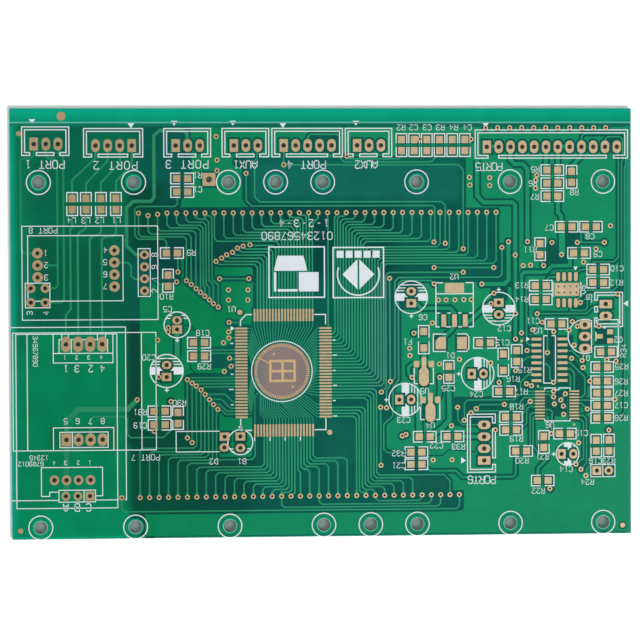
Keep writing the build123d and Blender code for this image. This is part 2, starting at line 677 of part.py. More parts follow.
def lower_bus():
    """From the lower row of vias up to the slanted group and the processor."""
    out = []
    inside_bottom = PROCESSOR_BOTTOM - 1.1
    inside_left = PROCESSOR_LEFT - 1.1
    inside_right = PROCESSOR_RIGHT + 1.1
    row = [(v.x, v.y) for v in LOWER_ROW]
    left = [(19.1, 39.0), (18.35, 39.95), (17.72, 40.75), (17.12, 41.55), (16.5, 42.4), (15.83, 43.22)]
    for start, (level, column), end in zip(row, left, LOWER_SLANT[2:]):
        out.append((TRACK, stepped(start, level, (column, end[1] - 1.5)) + [end]))
    out.append((TRACK, [(end_x(0), inside_bottom), (end_x(0), 17.3), (50.65, 16.55), (43.3, 16.55)]))
    out.append((TRACK, [LOWER_SLANT[0], (37.07, 21.25)]))
    out.append((TRACK, [LOWER_SLANT[1], (38.05, 20.25)]))
    for i in range(10):
        out.append((TRACK, stepped(row[6 + i], 14.99 - 0.61 * i, (end_x(3 + i), inside_bottom))))
    out.append((TRACK, [row[16], (59.85, 9.5), (59.85, inside_bottom)]))
    out.append((TRACK, [row[17], (61.0, 13.7), (60.5, 14.2), (60.5, inside_bottom)]))
    for i, level in enumerate((14.4, 14.95, 15.5, 16.15, 16.73)):
        out.append((TRACK, stepped(row[18 + i], level, (end_x(15 + i), inside_bottom))))
    y = side_y(29)
    out.append((TRACK, [row[23], (73.0, y - CORNER), (73.0 - CORNER, y), (inside_right, y)]))
    right = [(9.3, 73.6, 28), (9.9, 74.25, 27), (10.55, 74.85, 26), (11.15, 75.45, 23),
             (11.75, 76.1, 22), (12.4, 76.7, 21)]
    for start, (level, column, k) in zip(row[24:], right):
        y = side_y(k)
        path = stepped(start, level, (column, y - CORNER))
        out.append((TRACK, path + [(column - CORNER, y), (inside_right, y)]))
    y = side_y(20)
    out.append((TRACK, [row[33], (93.0, 11.6), (91.7, 12.97), (77.9, 12.97), (77.3, 13.57),
                        (77.3, y - CORNER), (77.3 - CORNER, y), (inside_right, y)]))
    for a, b, level in ((25, 30, 7.5), (19, 31, 6.87), (15, 32, 6.27), (35, 34, 5.66)):
        out.append((TRACK, stepped(row[a], level, row[b])))
    slant = LOWER_SLANT
    for (x, y), k in zip(slant[:4], (16, 17, 18, 19)):
        level = side_y(k)
        out.append((TRACK, [(x, y), (x + abs(level - y), level), (inside_left, level)]))
    for (x, y), level, turn, k in ((slant[4], 30.47, 45.1, 24), (slant[5], 29.4, 44.3, 26),
                                   (slant[6], 28.35, 43.95, 27)):
        lead = side_y(k)
        out.append((TRACK, [(x, y), (x + 0.5, level), (turn, level), (turn + level - lead, lead),
                            (inside_left, lead)]))
    lead = side_y(28)
    out.append((TRACK, [slant[7], (44.3, 27.1), (44.3 + 27.1 - lead, lead), (inside_left, lead)]))
    return out


PROCESSOR_STUBS = [
    (TRACK, [(47.4, 39.85), (42.3, 39.85), (41.6, 40.5), (41.0, 41.1)]),
    (TRACK, [(47.4, 39.2), (42.5, 39.2), (42.1, 38.8), (40.9, 38.7)]),
    (TRACK, [(46.0, 42.4), (47.4, 42.45)]),
    (TRACK, [(46.07, 38.1), (46.4, 37.9), (47.4, 37.9)]),
    (TRACK, [(46.38, 36.4), (46.7, 36.6), (47.4, 36.6)]),
    (TRACK, [(44.05, 54.95), (50.25, 54.95)]),
]

SUPPLY_TRACKS = [
    (FEED, [(5.1, 83.0), (5.1, 81.2), (4.4, 80.45), (2.6, 80.45), (2.25, 80.1), (2.25, 61.2),
            (3.0, 60.5), (5.7, 60.5)]),
    (FEED, [(7.6, 83.0), (7.6, 81.0), (8.2, 80.4), (9.4, 80.4), (9.93, 79.8), (9.93, 53.6),
            (9.4, 53.1), (7.3, 53.1)]),
    (FEED, [(5.7, 57.95), (9.9, 57.95)]),
    (FEED, [(10.14, 83.0), (10.3, 81.5), (11.23, 80.9), (11.23, 50.7), (10.6, 50.1), (7.3, 50.1)]),
    (FEED, [(18.03, 83.0), (18.0, 80.45), (13.05, 75.9), (13.05, 72.0)]),
    (FEED, [(20.57, 83.0), (20.57, 80.0), (16.0, 75.2), (15.95, 72.0)]),
    (FEED, [(23.11, 83.0), (23.11, 79.6), (19.1, 75.3), (19.1, 72.0)]),
    (FEED, [(25.65, 83.0), (25.65, 79.2), (22.3, 75.6), (22.25, 72.0)]),
    (FEED, [(13.0, 69.7), (13.0, 65.9), (12.6, 65.5), (12.6, 48.7), (11.55, 47.35), (11.55, 41.2)]),
    (FEED, [(15.95, 69.7), (15.95, 65.8), (15.4, 65.3), (14.9, 65.2), (14.15, 64.4), (14.15, 41.2)]),
    (FEED, [(19.1, 69.7), (19.1, 65.0), (18.4, 64.3), (17.4, 64.1), (16.7, 63.5), (16.7, 41.2)]),
    (FEED, [(22.25, 69.7), (22.25, 64.7), (21.6, 64.05), (20.0, 63.95), (19.2, 63.3), (19.2, 41.2)]),
    (MAIN_FEED, [(37.44, 83.0), (37.3, 85.6), (36.6, 86.3), (31.5, 86.35), (30.3, 85.2), (30.3, 72.2),
            (29.6, 71.4), (25.9, 71.4), (24.45, 70.0), (24.45, 62.05), (26.3, 60.2), (28.2, 60.1)]),
    (0.35, [(21.85, 58.5), (24.7, 58.45), (25.35, 57.8), (25.35, 55.65), (26.05, 55.0), (28.2, 55.0)]),
    (1.05, [(26.5, 29.45), (24.5, 27.44), (14.0, 27.44), (11.55, 25.0), (11.55, 15.2),
            (11.45, 12.5), (11.4, 9.2)]),
    (1.05, [(35.0, 43.4), (35.0, 38.6)]),
]

SENSOR_TRACKS = [
    (TRACK, [(35.2, 73.3), (35.2, 70.8), (34.6, 70.3), (26.8, 70.3), (26.2, 69.7), (26.2, 64.2),
             (27.0, 63.4), (32.3, 63.4), (32.85, 62.8), (32.85, 60.45)]),
    (TRACK, [(35.25, 60.3), (35.25, 56.45)]),
    (TRACK, [(33.3, 55.9), (34.0, 55.6), (34.95, 54.35)]),
    (TRACK, [(28.2, 55.0), (29.9, 55.0), (31.2, 53.9), (33.1, 53.5)]),
    (TRACK, [(16.61, 21.2), (16.65, 25.0), (17.3, 25.87), (23.9, 25.87), (24.4, 25.35),
             (24.4, 22.1), (25.1, 21.4), (32.0, 21.4), (32.9, 22.3), (35.1, 24.3)]),
    (TRACK, [(49.75, 77.25), (49.75, 71.5), (50.9, 70.35), (89.45, 70.35), (89.87, 69.93),
             (89.87, 62.95), (89.7, 62.6)]),
    (TRACK, [(52.28, 83.0), (52.0, 80.4), (51.56, 79.9), (51.56, 72.3), (52.6, 71.2), (91.3, 71.2),
             (92.1, 70.4), (92.1, 62.3)]),
    (TRACK, [(57.75, 83.0), (57.75, 79.05), (94.9, 79.05), (95.95, 78.0), (95.95, 61.15)]),
    (TRACK, [(62.83, 83.0), (62.9, 85.0), (63.4, 85.5), (69.2, 85.5), (69.8, 84.9), (69.8, 80.5),
             (70.6, 79.65), (89.1, 79.65), (90.0, 80.5), (90.93, 82.0)]),
    (TRACK, [(71.2, 80.85), (71.75, 80.3), (82.2, 80.3), (82.8, 80.9), (82.8, 82.0)]),
    (TRACK, [(89.7, 57.15), (102.5, 57.1)]),
    (TRACK, [(95.95, 56.15), (80.0, 56.15), (79.36, 55.5), (79.36, 31.7), (78.35, 30.7)]),
    (TRACK, [(80.2, 54.9), (80.26, 32.92)]),
    (TRACK, [(104.25, 61.4), (104.25, 55.7), (103.6, 55.05), (82.1, 55.05), (81.3, 54.25),
             (81.3, 33.9), (79.45, 31.0), (79.45, 27.33)]),
    (TRACK, [(89.7, 53.7), (89.0, 54.4), (82.8, 54.4), (82.05, 53.65), (82.05, 33.2), (80.8, 31.6),
             (80.8, 25.6), (78.84, 23.8), (78.84, 18.5), (79.6, 17.77), (84.6, 17.77)]),
    (TRACK, [(78.17, 27.45), (78.24, 15.08)]),
    (TRACK, [(31.1, 34.2), (32.7, 34.2)]),
]

POWER_TRACKS = [
    (WIDE, [(98.95, 80.0), (98.95, 72.4), (100.3, 71.0), (106.5, 71.0), (107.1, 70.4), (107.1, 59.75)]),
    (0.7, [(107.1, 59.75), (107.1, 41.8)]),
    (WIDE, [(106.13, 82.5), (106.1, 80.05), (107.0, 79.15), (108.7, 79.15), (109.75, 78.1),
            (109.75, 62.6)]),
    (0.6, [(101.05, 82.9), (103.59, 82.9)]),
    (0.6, [(116.29, 82.9), (118.83, 82.9)]),
    (0.8, [(113.75, 82.5), (113.75, 77.9)]),
    (0.8, [(116.29, 82.5), (116.27, 75.1)]),
    (0.8, [(121.37, 82.5), (121.2, 80.6), (119.3, 78.7), (119.25, 77.5)]),
    (WIDE, [(116.3, 72.3), (116.3, 68.8), (117.0, 68.0), (117.0, 65.8)]),
    (1.3, [(117.1, 65.7), (117.2, 59.9)]),
    (WIDE, [(105.65, 62.6), (105.65, 54.5), (104.75, 53.6), (99.9, 53.6)]),
    (0.75, [(119.65, 60.1), (118.9, 59.2), (118.9, 57.5), (115.0, 57.4), (113.7, 56.1),
            (109.0, 56.1), (108.45, 55.5), (108.41, 43.13)]),
    (0.75, [(84.8, 49.55), (86.1, 49.4), (86.9, 48.5), (93.1, 48.5), (94.05, 47.5), (94.05, 46.8)]),
    (0.8, [(101.9, 49.4), (100.8, 49.0), (97.3, 45.7), (96.4, 45.3)]),
    (WIDE, [(94.05, 45.0), (93.5, 43.9), (91.6, 42.2), (91.3, 41.6)]),
    (1.0, [(87.45, 40.1), (87.47, 37.6)]),
    (1.0, [(92.8, 33.8), (92.95, 24.7), (91.6, 23.1), (88.8, 21.1)]),
    (1.2, [(86.4, 28.7), (86.4, 21.2)]),
    (0.6, [(111.85, 11.5), (111.9, 14.1), (113.9, 16.1), (113.2, 18.6)]),
    (0.45, [(107.15, 17.85), (107.15, 13.0), (106.5, 12.35), (95.7, 12.35), (94.3, 13.75),
            (88.9, 13.75), (87.0, 15.2)]),
    (0.8, [(94.7, 21.1), (99.9, 21.0)]),
    (0.75, [(87.45, 43.55), (85.9, 43.4), (85.35, 43.2)]),
    (0.6, [(84.92, 33.77), (84.2, 34.5), (84.2, 36.0), (84.9, 36.6), (85.9, 36.6)]),
    (0.8, [(90.45, 29.0), (90.85, 30.2), (90.85, 33.77)]),
]

SIGNAL_TRACKS = [
    (TRACK, [(121.37, 83.0), (121.4, 85.05), (121.95, 85.6), (130.35, 85.6), (130.9, 85.05),
             (130.9, 78.9), (130.65, 78.5), (130.65, 26.0), (129.4, 24.85), (126.97, 24.85)]),
    (TRACK, [(126.45, 83.0), (126.5, 84.4), (127.05, 84.95), (129.7, 84.95), (130.25, 84.4),
             (130.25, 80.0), (130.0, 79.6), (130.0, 53.9), (128.3, 52.2), (122.7, 52.2), (120.17, 50.0)]),
    (TRACK, [(128.99, 82.5), (129.3, 80.5), (129.3, 59.2), (128.35, 58.25), (123.9, 58.25),
             (123.8, 56.7)]),
    (TRACK, [(112.45, 60.0), (112.45, 58.7), (113.2, 57.5)]),
    (TRACK, [(116.33, 55.05), (114.4, 55.05), (113.9, 54.5), (113.75, 53.3)]),
    (TRACK, [(111.8, 47.2), (122.4, 47.2), (123.7, 48.4), (126.6, 49.2)]),
    (TRACK, [(118.87, 49.0), (119.1, 47.9), (122.0, 47.85), (122.6, 48.45), (122.6, 50.6),
             (121.1, 49.55)]),
    (TRACK, [(120.14, 55.6), (121.1, 56.6), (123.8, 56.6)]),
    (TRACK, [(111.4, 53.2), (109.9, 52.9), (109.5, 52.4), (109.5, 41.1), (110.1, 40.51),
             (111.6, 40.51)]),
    (TRACK, [(96.1, 24.53), (96.15, 28.1), (96.9, 28.85), (106.8, 28.85), (107.9, 29.94),
             (112.4, 29.94)]),
    (TRACK, [(94.68, 27.3), (94.75, 24.6), (95.8, 23.56), (100.3, 23.56)]),
    (TRACK, [(98.67, 27.0), (99.5, 27.85), (104.73, 27.85)]),
    (TRACK, [(97.53, 26.1), (98.1, 26.5), (107.3, 26.5), (108.2, 27.4), (108.2, 28.5),
             (109.0, 29.29), (112.4, 29.29)]),
    (TRACK, [(110.25, 28.45), (110.5, 28.64), (112.4, 28.64)]),
    (TRACK, [(112.4, 27.99), (109.6, 27.99), (108.9, 27.3), (108.9, 26.0), (107.3, 25.15)]),
    (TRACK, [(112.4, 27.34), (110.0, 27.34), (109.5, 26.84), (109.5, 23.8), (107.9, 22.4),
             (107.3, 22.4)]),
    (TRACK, [(112.4, 26.03), (110.75, 26.03), (110.25, 25.5), (110.25, 19.0), (109.5, 18.0)]),
    (TRACK, [(112.4, 25.38), (111.3, 25.38), (110.85, 24.9), (110.85, 19.0), (111.8, 17.6),
             (113.2, 18.6)]),
    (TRACK, [(113.4, 26.68), (114.6, 26.68), (115.0, 26.2), (114.83, 21.54)]),
    (TRACK, [(107.4, 37.1), (109.0, 37.3), (109.7, 37.97), (111.6, 37.97)]),
    (TRACK, [(111.6, 34.16), (109.8, 34.16), (108.2, 32.6), (108.2, 31.2), (108.8, 30.59),
             (112.4, 30.59)]),
    (TRACK, [(112.7, 36.7), (113.9, 36.4), (114.5, 35.6), (114.5, 33.4), (115.3, 32.5)]),
    (TRACK, [(112.9, 45.4), (114.0, 44.4), (114.0, 38.87)]),
    (TRACK, [(117.25, 39.24), (119.3, 39.24), (121.5, 37.14)]),
    (TRACK, [(117.25, 36.7), (118.9, 36.7), (122.05, 33.6), (122.05, 29.9), (121.4, 29.29),
             (119.8, 29.29)]),
    (TRACK, [(117.25, 35.43), (118.9, 35.43), (119.76, 34.5), (119.76, 30.59)]),
    (TRACK, [(117.25, 34.16), (118.6, 34.16), (118.95, 33.6), (118.95, 30.59)]),
    (TRACK, [(119.8, 28.64), (123.4, 28.64), (124.7, 27.5)]),
    (TRACK, [(119.8, 27.99), (121.3, 27.99), (122.57, 26.75)]),
    (TRACK, [(119.8, 25.38), (121.7, 25.38), (122.4, 24.6), (122.4, 15.2), (121.2, 13.8)]),
    (TRACK, [(119.8, 24.73), (121.2, 24.5), (121.75, 23.9), (121.75, 16.2), (120.12, 14.92)]),
    (TRACK, [(120.45, 62.4), (126.3, 62.4)]),
    (TRACK, [(121.7, 65.6), (121.3, 64.6), (121.3, 62.4)]),
    (TRACK, [(115.3, 30.59), (113.3, 30.59)]),
    (TRACK, [(115.3, 29.4), (114.5, 29.94), (113.3, 29.94)]),
    (TRACK, [(116.85, 28.72), (117.86, 30.03)]),
    (TRACK, [(101.73, 41.05), (103.4, 41.05), (104.5, 38.7)]),
    (TRACK, [(104.5, 35.1), (103.6, 33.6), (103.6, 32.58)]),
    (TRACK, [(107.15, 35.07), (107.4, 37.0)]),
    (TRACK, [(122.1, 39.75), (124.1, 39.75), (125.47, 38.95)]),
    (TRACK, [(127.25, 20.0), (127.25, 22.2)]),
    (TRACK, [(124.5, 17.7), (124.65, 13.5)]),
    (TRACK, [(127.25, 17.7), (127.22, 13.5)]),
    (TRACK, [(116.6, 21.5), (114.83, 21.54)]),
    (TRACK, [(46.0, 45.7), (48.0, 45.7), (48.57, 44.4)]),
]

# ---------------------------------------------------------------- ground pour

POURS = [
    # along the top and down both sides of the jumper
    [(38.1, 80.6), (131.4, 80.6), (131.4, 87.1), (38.1, 87.1)],
    [(38.2, 80.7), (46.9, 80.7), (46.9, 79.0), (48.9, 78.4), (48.9, 71.8), (50.4, 70.1),
     (35.9, 70.1), (36.2, 72.0), (38.2, 72.0)],
    # upper right
    [(96.6, 81.0), (131.4, 81.0), (131.4, 62.2), (103.7, 62.2), (103.7, 69.9), (96.6, 69.9)],
    # lower right and the strip along the bottom
    [(107.8, 62.3), (131.4, 62.3), (131.4, 0.45), (28.0, 0.45), (28.0, 5.15), (95.4, 5.15),
     (96.0, 5.7), (96.0, 9.6), (93.6, 9.6), (93.6, 11.9), (91.8, 13.35), (88.4, 13.35),
     (88.4, 19.1), (83.2, 19.1), (83.2, 18.4), (80.0, 18.4), (79.4, 19.0), (79.4, 23.7),
     (81.3, 25.7), (81.3, 31.6), (82.7, 33.2), (82.7, 48.2), (86.6, 48.2), (86.6, 54.05),
     (99.3, 54.05), (101.0, 52.9), (101.9, 52.9), (101.9, 50.0), (105.5, 50.0), (105.5, 52.9),
     (107.8, 52.9)],
    # left of the processor
    [(27.15, 22.9), (33.6, 22.9), (33.6, 28.4), (36.45, 28.4), (36.45, 34.4), (38.0, 35.0),
     (45.6, 35.0), (45.6, 36.0), (41.9, 36.0), (41.9, 38.9), (45.5, 38.9), (45.5, 41.0),
     (46.8, 41.0), (46.8, 45.2), (50.8, 45.2), (50.8, 48.9), (51.1, 48.9), (51.1, 57.0),
     (50.2, 57.7), (43.0, 57.7), (43.0, 54.9), (44.3, 53.6), (44.3, 48.9), (43.9, 48.1),
     (43.0, 48.4), (42.2, 49.0), (36.5, 53.8), (36.5, 61.0), (35.95, 61.0), (35.95, 54.3),
     (29.7, 54.3), (29.7, 51.0), (27.15, 51.0)],
    # below left of the processor
    [(43.85, 17.1), (50.8, 17.1), (50.8, 26.0), (50.0, 25.4), (47.4, 25.2), (46.0, 25.7),
     (44.5, 26.8), (43.85, 26.3)],
]
POUR_VOIDS = [
    box_between(63.2, 81.4, 69.6, 85.3),
    box_between(113.7, 57.9, 117.2, 62.1),
    box_between(117.2, 61.5, 120.9, 64.7),
    box_between(117.2, 58.3, 118.8, 61.6),
    box_between(93.9, 23.3, 103.2, 29.6),
    polygon([(106.0, 28.2), (112.0, 28.2), (112.0, 31.6), (120.4, 31.6), (122.6, 30.0),
             (122.6, 34.2), (119.6, 37.6), (119.6, 42.6), (109.2, 42.6), (106.0, 34.4)]),
    box_between(113.9, 25.2, 118.3, 30.8),
]
POUR_SLITS = [
    [(36.2, 45.1), (37.8, 45.1), (39.3, 43.6), (39.3, 42.6)],
    [(42.0, 40.45), (47.0, 40.45)],
    [(37.7, 37.3), (37.8, 36.0), (39.0, 34.8)],
    [(88.2, 17.05), (91.5, 17.05), (92.7, 18.3), (98.6, 17.75)],
]
SLIT_W = 0.3
SMALLEST_ISLAND = 0.6

# ---------------------------------------------------------------- printed legend


def lines(width, *paths):
    return [stroke(path, width) for path in paths]


def hole_rings():
    return [ring(x, y, HOLE_RING_R, 0.22) for x, y in HOLES]


def module_legend():
    frames = [
        (2.45, 46.4, 31.0, 66.2), (3.65, 50.4, 23.65, 64.2), (3.1, 49.0, 8.25, 54.2),
        (26.85, 51.3, 29.4, 61.4), (1.02, 6.55, 22.27, 43.42), (9.88, 7.86, 17.58, 10.37),
        (123.35, 12.2, 128.56, 14.8), (10.15, 19.41, 20.3, 22.67),
    ]
    return [frame_line(*f, THIN_LINE) for f in frames] + lines(
        THIN_LINE,
        [(0.0, 44.86), (24.1, 44.86), (24.1, 8.24), (23.75, 8.24)],
        [(0.0, 8.24), (9.77, 8.24)], [(17.67, 8.24), (22.4, 8.24)],
        [(30.5, 41.4), (30.5, 18.78), (0.35, 18.78), (0.35, 43.69), (30.5, 43.69), (30.5, 42.7)],
        [(27.45, 43.69), (27.45, 18.78)], [(3.38, 43.42), (3.38, 18.78)],
        # four-way input connector
        [(8.87, 43.42), (8.87, 37.32), (21.44, 37.32), (21.44, 43.42)],
        [(8.87, 39.34), (21.44, 39.34)], [(10.1, 39.34), (10.1, 42.23), (20.3, 42.23), (20.3, 39.34)],
        [(12.68, 42.23), (12.68, 39.34)], [(10.67, 43.4), (10.67, 42.3)], [(19.87, 43.4), (19.87, 42.3)],
        [(12.08, 43.4), (12.08, 42.3)], [(18.18, 43.4), (18.18, 42.3)],
        # four-way output connector
        [(8.8, 18.78), (8.8, 23.6), (21.5, 23.6), (21.5, 18.78)],
        [(12.8, 22.67), (12.8, 19.41)],
        # edge connector with its two legs
        [(9.77, 10.0), (7.93, 10.0), (7.93, 9.1), (6.2, 9.1), (6.2, 15.21), (19.08, 15.21),
         (19.08, 9.13), (17.67, 9.13)],
        [(15.15, 7.86), (15.15, 10.37)], [(125.93, 12.2), (125.93, 14.8)],
        # lamp beside the buzzer
        [(43.87, 22.63), (34.67, 22.63), (34.67, 18.27), (43.87, 18.27)],
    )


def package_legend():
    ticks = [[(46.3, y), (46.9, y)] for y in (41.22, 34.7, 28.2)] + [[(45.9, 31.46), (46.9, 31.46)]]
    ticks += [[(68.0, y), (68.6, y)] for y in (41.83, 35.37, 28.95)]
    ticks += [[(68.0, y), (68.9, y)] for y in (38.64, 32.18, 25.67)]
    ticks += [[(x, 20.5), (x, 21.3)] for x in (51.3, 54.57, 57.8, 61.05)]
    shapes = lines(INK_LINE, *ticks) + lines(
        INK_LINE,
        [(50.85, 47.35), (49.6, 47.35), (48.4, 46.1), (48.45, 45.0)],
        [(64.1, 47.3), (66.5, 47.3), (66.5, 45.2)],
        [(66.5, 25.25), (66.5, 22.78), (64.1, 22.78)],
        [(48.38, 25.25), (48.38, 22.76), (50.8, 22.76)],
        # regulator
        [(91.6, 53.92), (90.07, 53.92), (90.07, 44.5), (90.9, 44.5)],
        [(96.4, 53.92), (98.07, 53.92), (98.07, 44.5), (97.1, 44.5)],
        [(92.2, 44.5), (93.3, 44.5)], [(94.8, 44.5), (95.7, 44.5)], [(90.07, 51.55), (98.07, 51.55)],
        [(90.07, 47.45), (91.0, 47.45)], [(92.5, 47.45), (93.3, 47.45)], [(94.8, 47.45), (95.6, 47.45)],
        [(97.1, 47.45), (98.07, 47.45)],
        # line driver
        [(113.19, 42.5), (113.19, 32.36), (115.72, 32.36), (115.72, 42.5)],
        [(113.19, 42.5), (114.0, 42.5)], [(114.9, 42.5), (115.72, 42.5)],
        # port chip
        [(113.4, 30.9), (113.4, 31.3), (115.6, 31.3), (115.8, 30.9), (116.4, 30.9), (116.6, 31.3),
         (118.87, 31.3), (118.87, 30.9)],
        [(113.4, 24.64), (113.4, 24.24), (118.87, 24.24), (118.87, 24.64)],
        # converter
        [(115.2, 50.8), (115.2, 53.95)], [(121.2, 53.95), (121.2, 50.8)],
        # tab transistors
        [(85.4, 35.8), (85.4, 32.4)], [(89.5, 35.8), (89.5, 32.4)], [(85.4, 32.4), (86.2, 32.4)],
        [(88.7, 32.4), (89.5, 32.4)], [(86.7, 28.2), (86.7, 24.75)], [(90.85, 28.2), (90.85, 24.75)],
        [(86.7, 24.75), (87.6, 24.75)], [(90.0, 24.75), (90.85, 24.75)],
        # three-pin transistor and the chip beside it
        [(124.6, 45.2), (124.6, 45.85), (129.3, 45.85), (129.3, 37.8)],
        [(124.45, 41.3), (124.45, 43.3)], [(126.0, 44.1), (126.6, 44.1)],
        # rectifier
        [(89.5, 39.27), (92.2, 39.27)], [(94.6, 39.27), (96.6, 39.27), (97.1, 39.8), (97.1, 42.4),
                                         (96.6, 42.97), (94.6, 42.97)],
        [(92.2, 42.97), (89.5, 42.97), (89.5, 39.27)],
    )
    shapes.append(ring(DIE_X, DIE_Y, DIE_RING_R, DIE_RING_LINE))
    shapes.append(three_pin_outline(122.1, 42.3, 3.65, 1.4))
    arrows = [(46.63, 44.43, -90), (109.73, 41.8, -90), (120.05, 56.95, 180)]
    for x, y, turn in arrows:
        tip = [(x + 0.55 * math.cos(math.radians(turn + a)), y + 0.55 * math.sin(math.radians(turn + a)))
               for a in (90, 210, 330)]
        shapes.append(polygon(tip))
    return shapes


def three_pin_outline(x, y, r, flat):
    """A D shape: a circle with a chord cut off on its right."""
    whole = Face((Pos(x, y) * Circle(r + INK_LINE / 2)).wire())
    hollow = Face((Pos(x, y) * Circle(r - INK_LINE / 2)).wire())
    keep = box_between(x - 2 * r, y - 2 * r, x + flat + INK_LINE / 2, y + 2 * r)
    inner = box_between(x - 2 * r, y - 2 * r, x + flat - INK_LINE / 2, y + 2 * r)
    return ((whole & keep).face() - (hollow & inner).face()).face()


# ---------------------------------------------------------------- the copper side, shared out flat
# The face of the board is one layer. Lands are taken out of it first, then tracks, then the
# ground pour, and the solder mask over bare laminate is what is left.

ALL_PLATED = {
    "top_connector_lands": [land for h in HEADERS.values() for land in h.lands()],
    "module_lands": MODULE_PINS,
    "jumper_lands": JUMPER_PINS + TRANSISTOR_PINS,
    "capacitor_lands": [land for c in CAPACITORS + [BUZZER] for land in c.lands()],
    "upper_via_row": UPPER_ROW,
    "lower_via_row": LOWER_ROW,
    "slanted_vias": SLANT_VIAS,
    "connector_vias": CONNECTOR_VIAS,
    "loose_vias": LOOSE_VIAS,
}
PLATED = [p for group in ALL_PLATED.values() for p in group]
BOARD = box_between(0, 0, BOARD_W, BOARD_H)
SCORE_STRIP = box_between(-1, SCORE_Y - SCORE_W / 2, BOARD_W + 1, SCORE_Y + SCORE_W / 2)


def flat_lands():
    """Lands with no component hole, by node."""
    drills = [small_disc(x, y, CONVERTER_DRILL, DRILL_SIDES) for x, y in CONVERTER_DRILLS]
    thermal = cut([box_between(*CONVERTER_PAD)], drills)
    return {
        "chip_lands": [land for chip in CHIPS for land in chip.lands()],
        "processor_lands": processor_lands(),
        "driver_lands": DRIVER_LANDS,
        "port_lands": PORT_LANDS,
        "converter_lands": CONVERTER_LANDS + thermal,
        "regulator_lands": REGULATOR_LANDS,
        "diode_lands": DIODE_LANDS,
        "transistor_lands": TRANSISTOR_LANDS,
        "fiducials": [disc(*f) for f in FIDUCIALS] + [small_disc(*d) for d in TEST_DOTS],
        "bond_fingers": bond_fingers(),
        "die_pad": die_pad(),
    }


TEARDROP_W = 0.84
TEARDROP_L = 1.15


def teardrop(land, way):
    """The taper from a via's land into the track that leaves it up or down."""
    half, end = TEARDROP_W / 2, land.y + way * TEARDROP_L
    return polygon([(land.x - half, land.y), (land.x + half, land.y), (land.x + TRACK / 2, end),
                    (land.x - TRACK / 2, end)])


TEARDROPS = {
    "upper_bus_tracks": [teardrop(v, -1) for v in UPPER_ROW[3:17] + UPPER_ROW[24:]],
    "lower_bus_tracks": [teardrop(v, 1) for v in LOWER_ROW[:16] + LOWER_ROW[18:25]],
}
TRACK_GROUPS = {
    "upper_bus_tracks": upper_bus(),
    "lower_bus_tracks": lower_bus(),
    "processor_fan_tracks": fan_tracks() + PROCESSOR_STUBS,
    "supply_tracks": SUPPLY_TRACKS,
    "sensor_tracks": SENSOR_TRACKS,
    "power_tracks": POWER_TRACKS,
    "signal_tracks": SIGNAL_TRACKS,
}


def ground_pour(bare, tracks):
    tools = [stroke(path, width + 2 * CLEARANCE) for group in TRACK_GROUPS.values()
             for width, path in group if len(path) > 1]
    tools += [land for chip in CHIPS for land in chip.lands(0.3)]
    tools += [p.land(CLEARANCE) for p in PLATED if not p.poured]
    tools += [disc(x, y, HOLE_POUR_D) for x, y in HOLES]
    tools += [block(x, y, 2.13 + 0.6, 1.2) for x in (111.64, 117.25) for y in (41.78, 32.89)]
    tools += [block(x, 27.66, 2.7, 6.8) for x in (112.38, 119.76)]
    tools += [margin(land, CLEARANCE) for land in REGULATOR_LANDS[1:] + DIODE_LANDS]
    tools += [oval(116.33 + 1.27 * k, y, 1.35, 2.55) for y in (55.1, 49.5) for k in range(4)]
    tools += [oval(87.48, 34.0, 2.8, 5.4), oval(88.85, 26.3, 2.8, 5.4)]
    tools += [block(122.1, 42.28, 3.2, 7.6), block(126.3, 42.3, 4.2, 3.5)]
    tools += [disc(130.2, 1.73, 1.7), disc(48.3, 47.85, 1.8)]
    tools += [stroke(path, SLIT_W) for path in POUR_SLITS]
    pours = joined([polygon(points) for points in POURS])
    pours = cut(pours, POUR_VOIDS)
    pours = cut(pours, tools)
    pours = cut(pours, bare + tracks)
    return [face for face in pours if face.area > SMALLEST_ISLAND]


def legends(bare):
    holes = [disc(x, y, HOLE_MASK_D) for x, y in HOLES]
    keep_off = bare + holes + [SCORE_STRIP]
    groups = {
        "legend_connectors": [f for h in HEADERS.values() for f in h.outline() + h.pin_mark()],
        "legend_hole_rings": hole_rings(),
        "legend_chips": [f for chip in CHIPS for f in chip.marks()],
        "legend_capacitors": [f for c in CAPACITORS + [BUZZER] for f in c.marks()],
        "legend_modules": module_legend(),
        "legend_packages": package_legend(),
    }
    return {name: cut([f for face in joined(faces) for f in flat_faces(face & BOARD)], keep_off)
            for name, faces in groups.items()}


def raised(faces, z, height):
    return [prism(face, z, height) for face in faces]


def scored(solid):
    """The laminate with its two V-scores."""
    half, depth = SCORE_W / 2, SCORE_DEPTH
    for z, into in ((TOP_Z, -depth), (CORE_Z, depth)):
        profile = Polyline((0, SCORE_Y - half, z), (0, SCORE_Y + half, z), (0, SCORE_Y, z + into),
                           close=True)
        solid = solid - Solid.extrude(Face(profile.wire()), Vector(BOARD_W, 0, 0))
    return solid.solid()


def write(name, solids):
    place = Pos(-BOARD_W / 2, -BOARD_H / 2, 0)
    moved = [place * solid for solid in solids]
    shape = moved[0] if len(moved) == 1 else Compound(children=moved)
    export_step(shape, f"parts/{name}.step", write_pcurves=False)


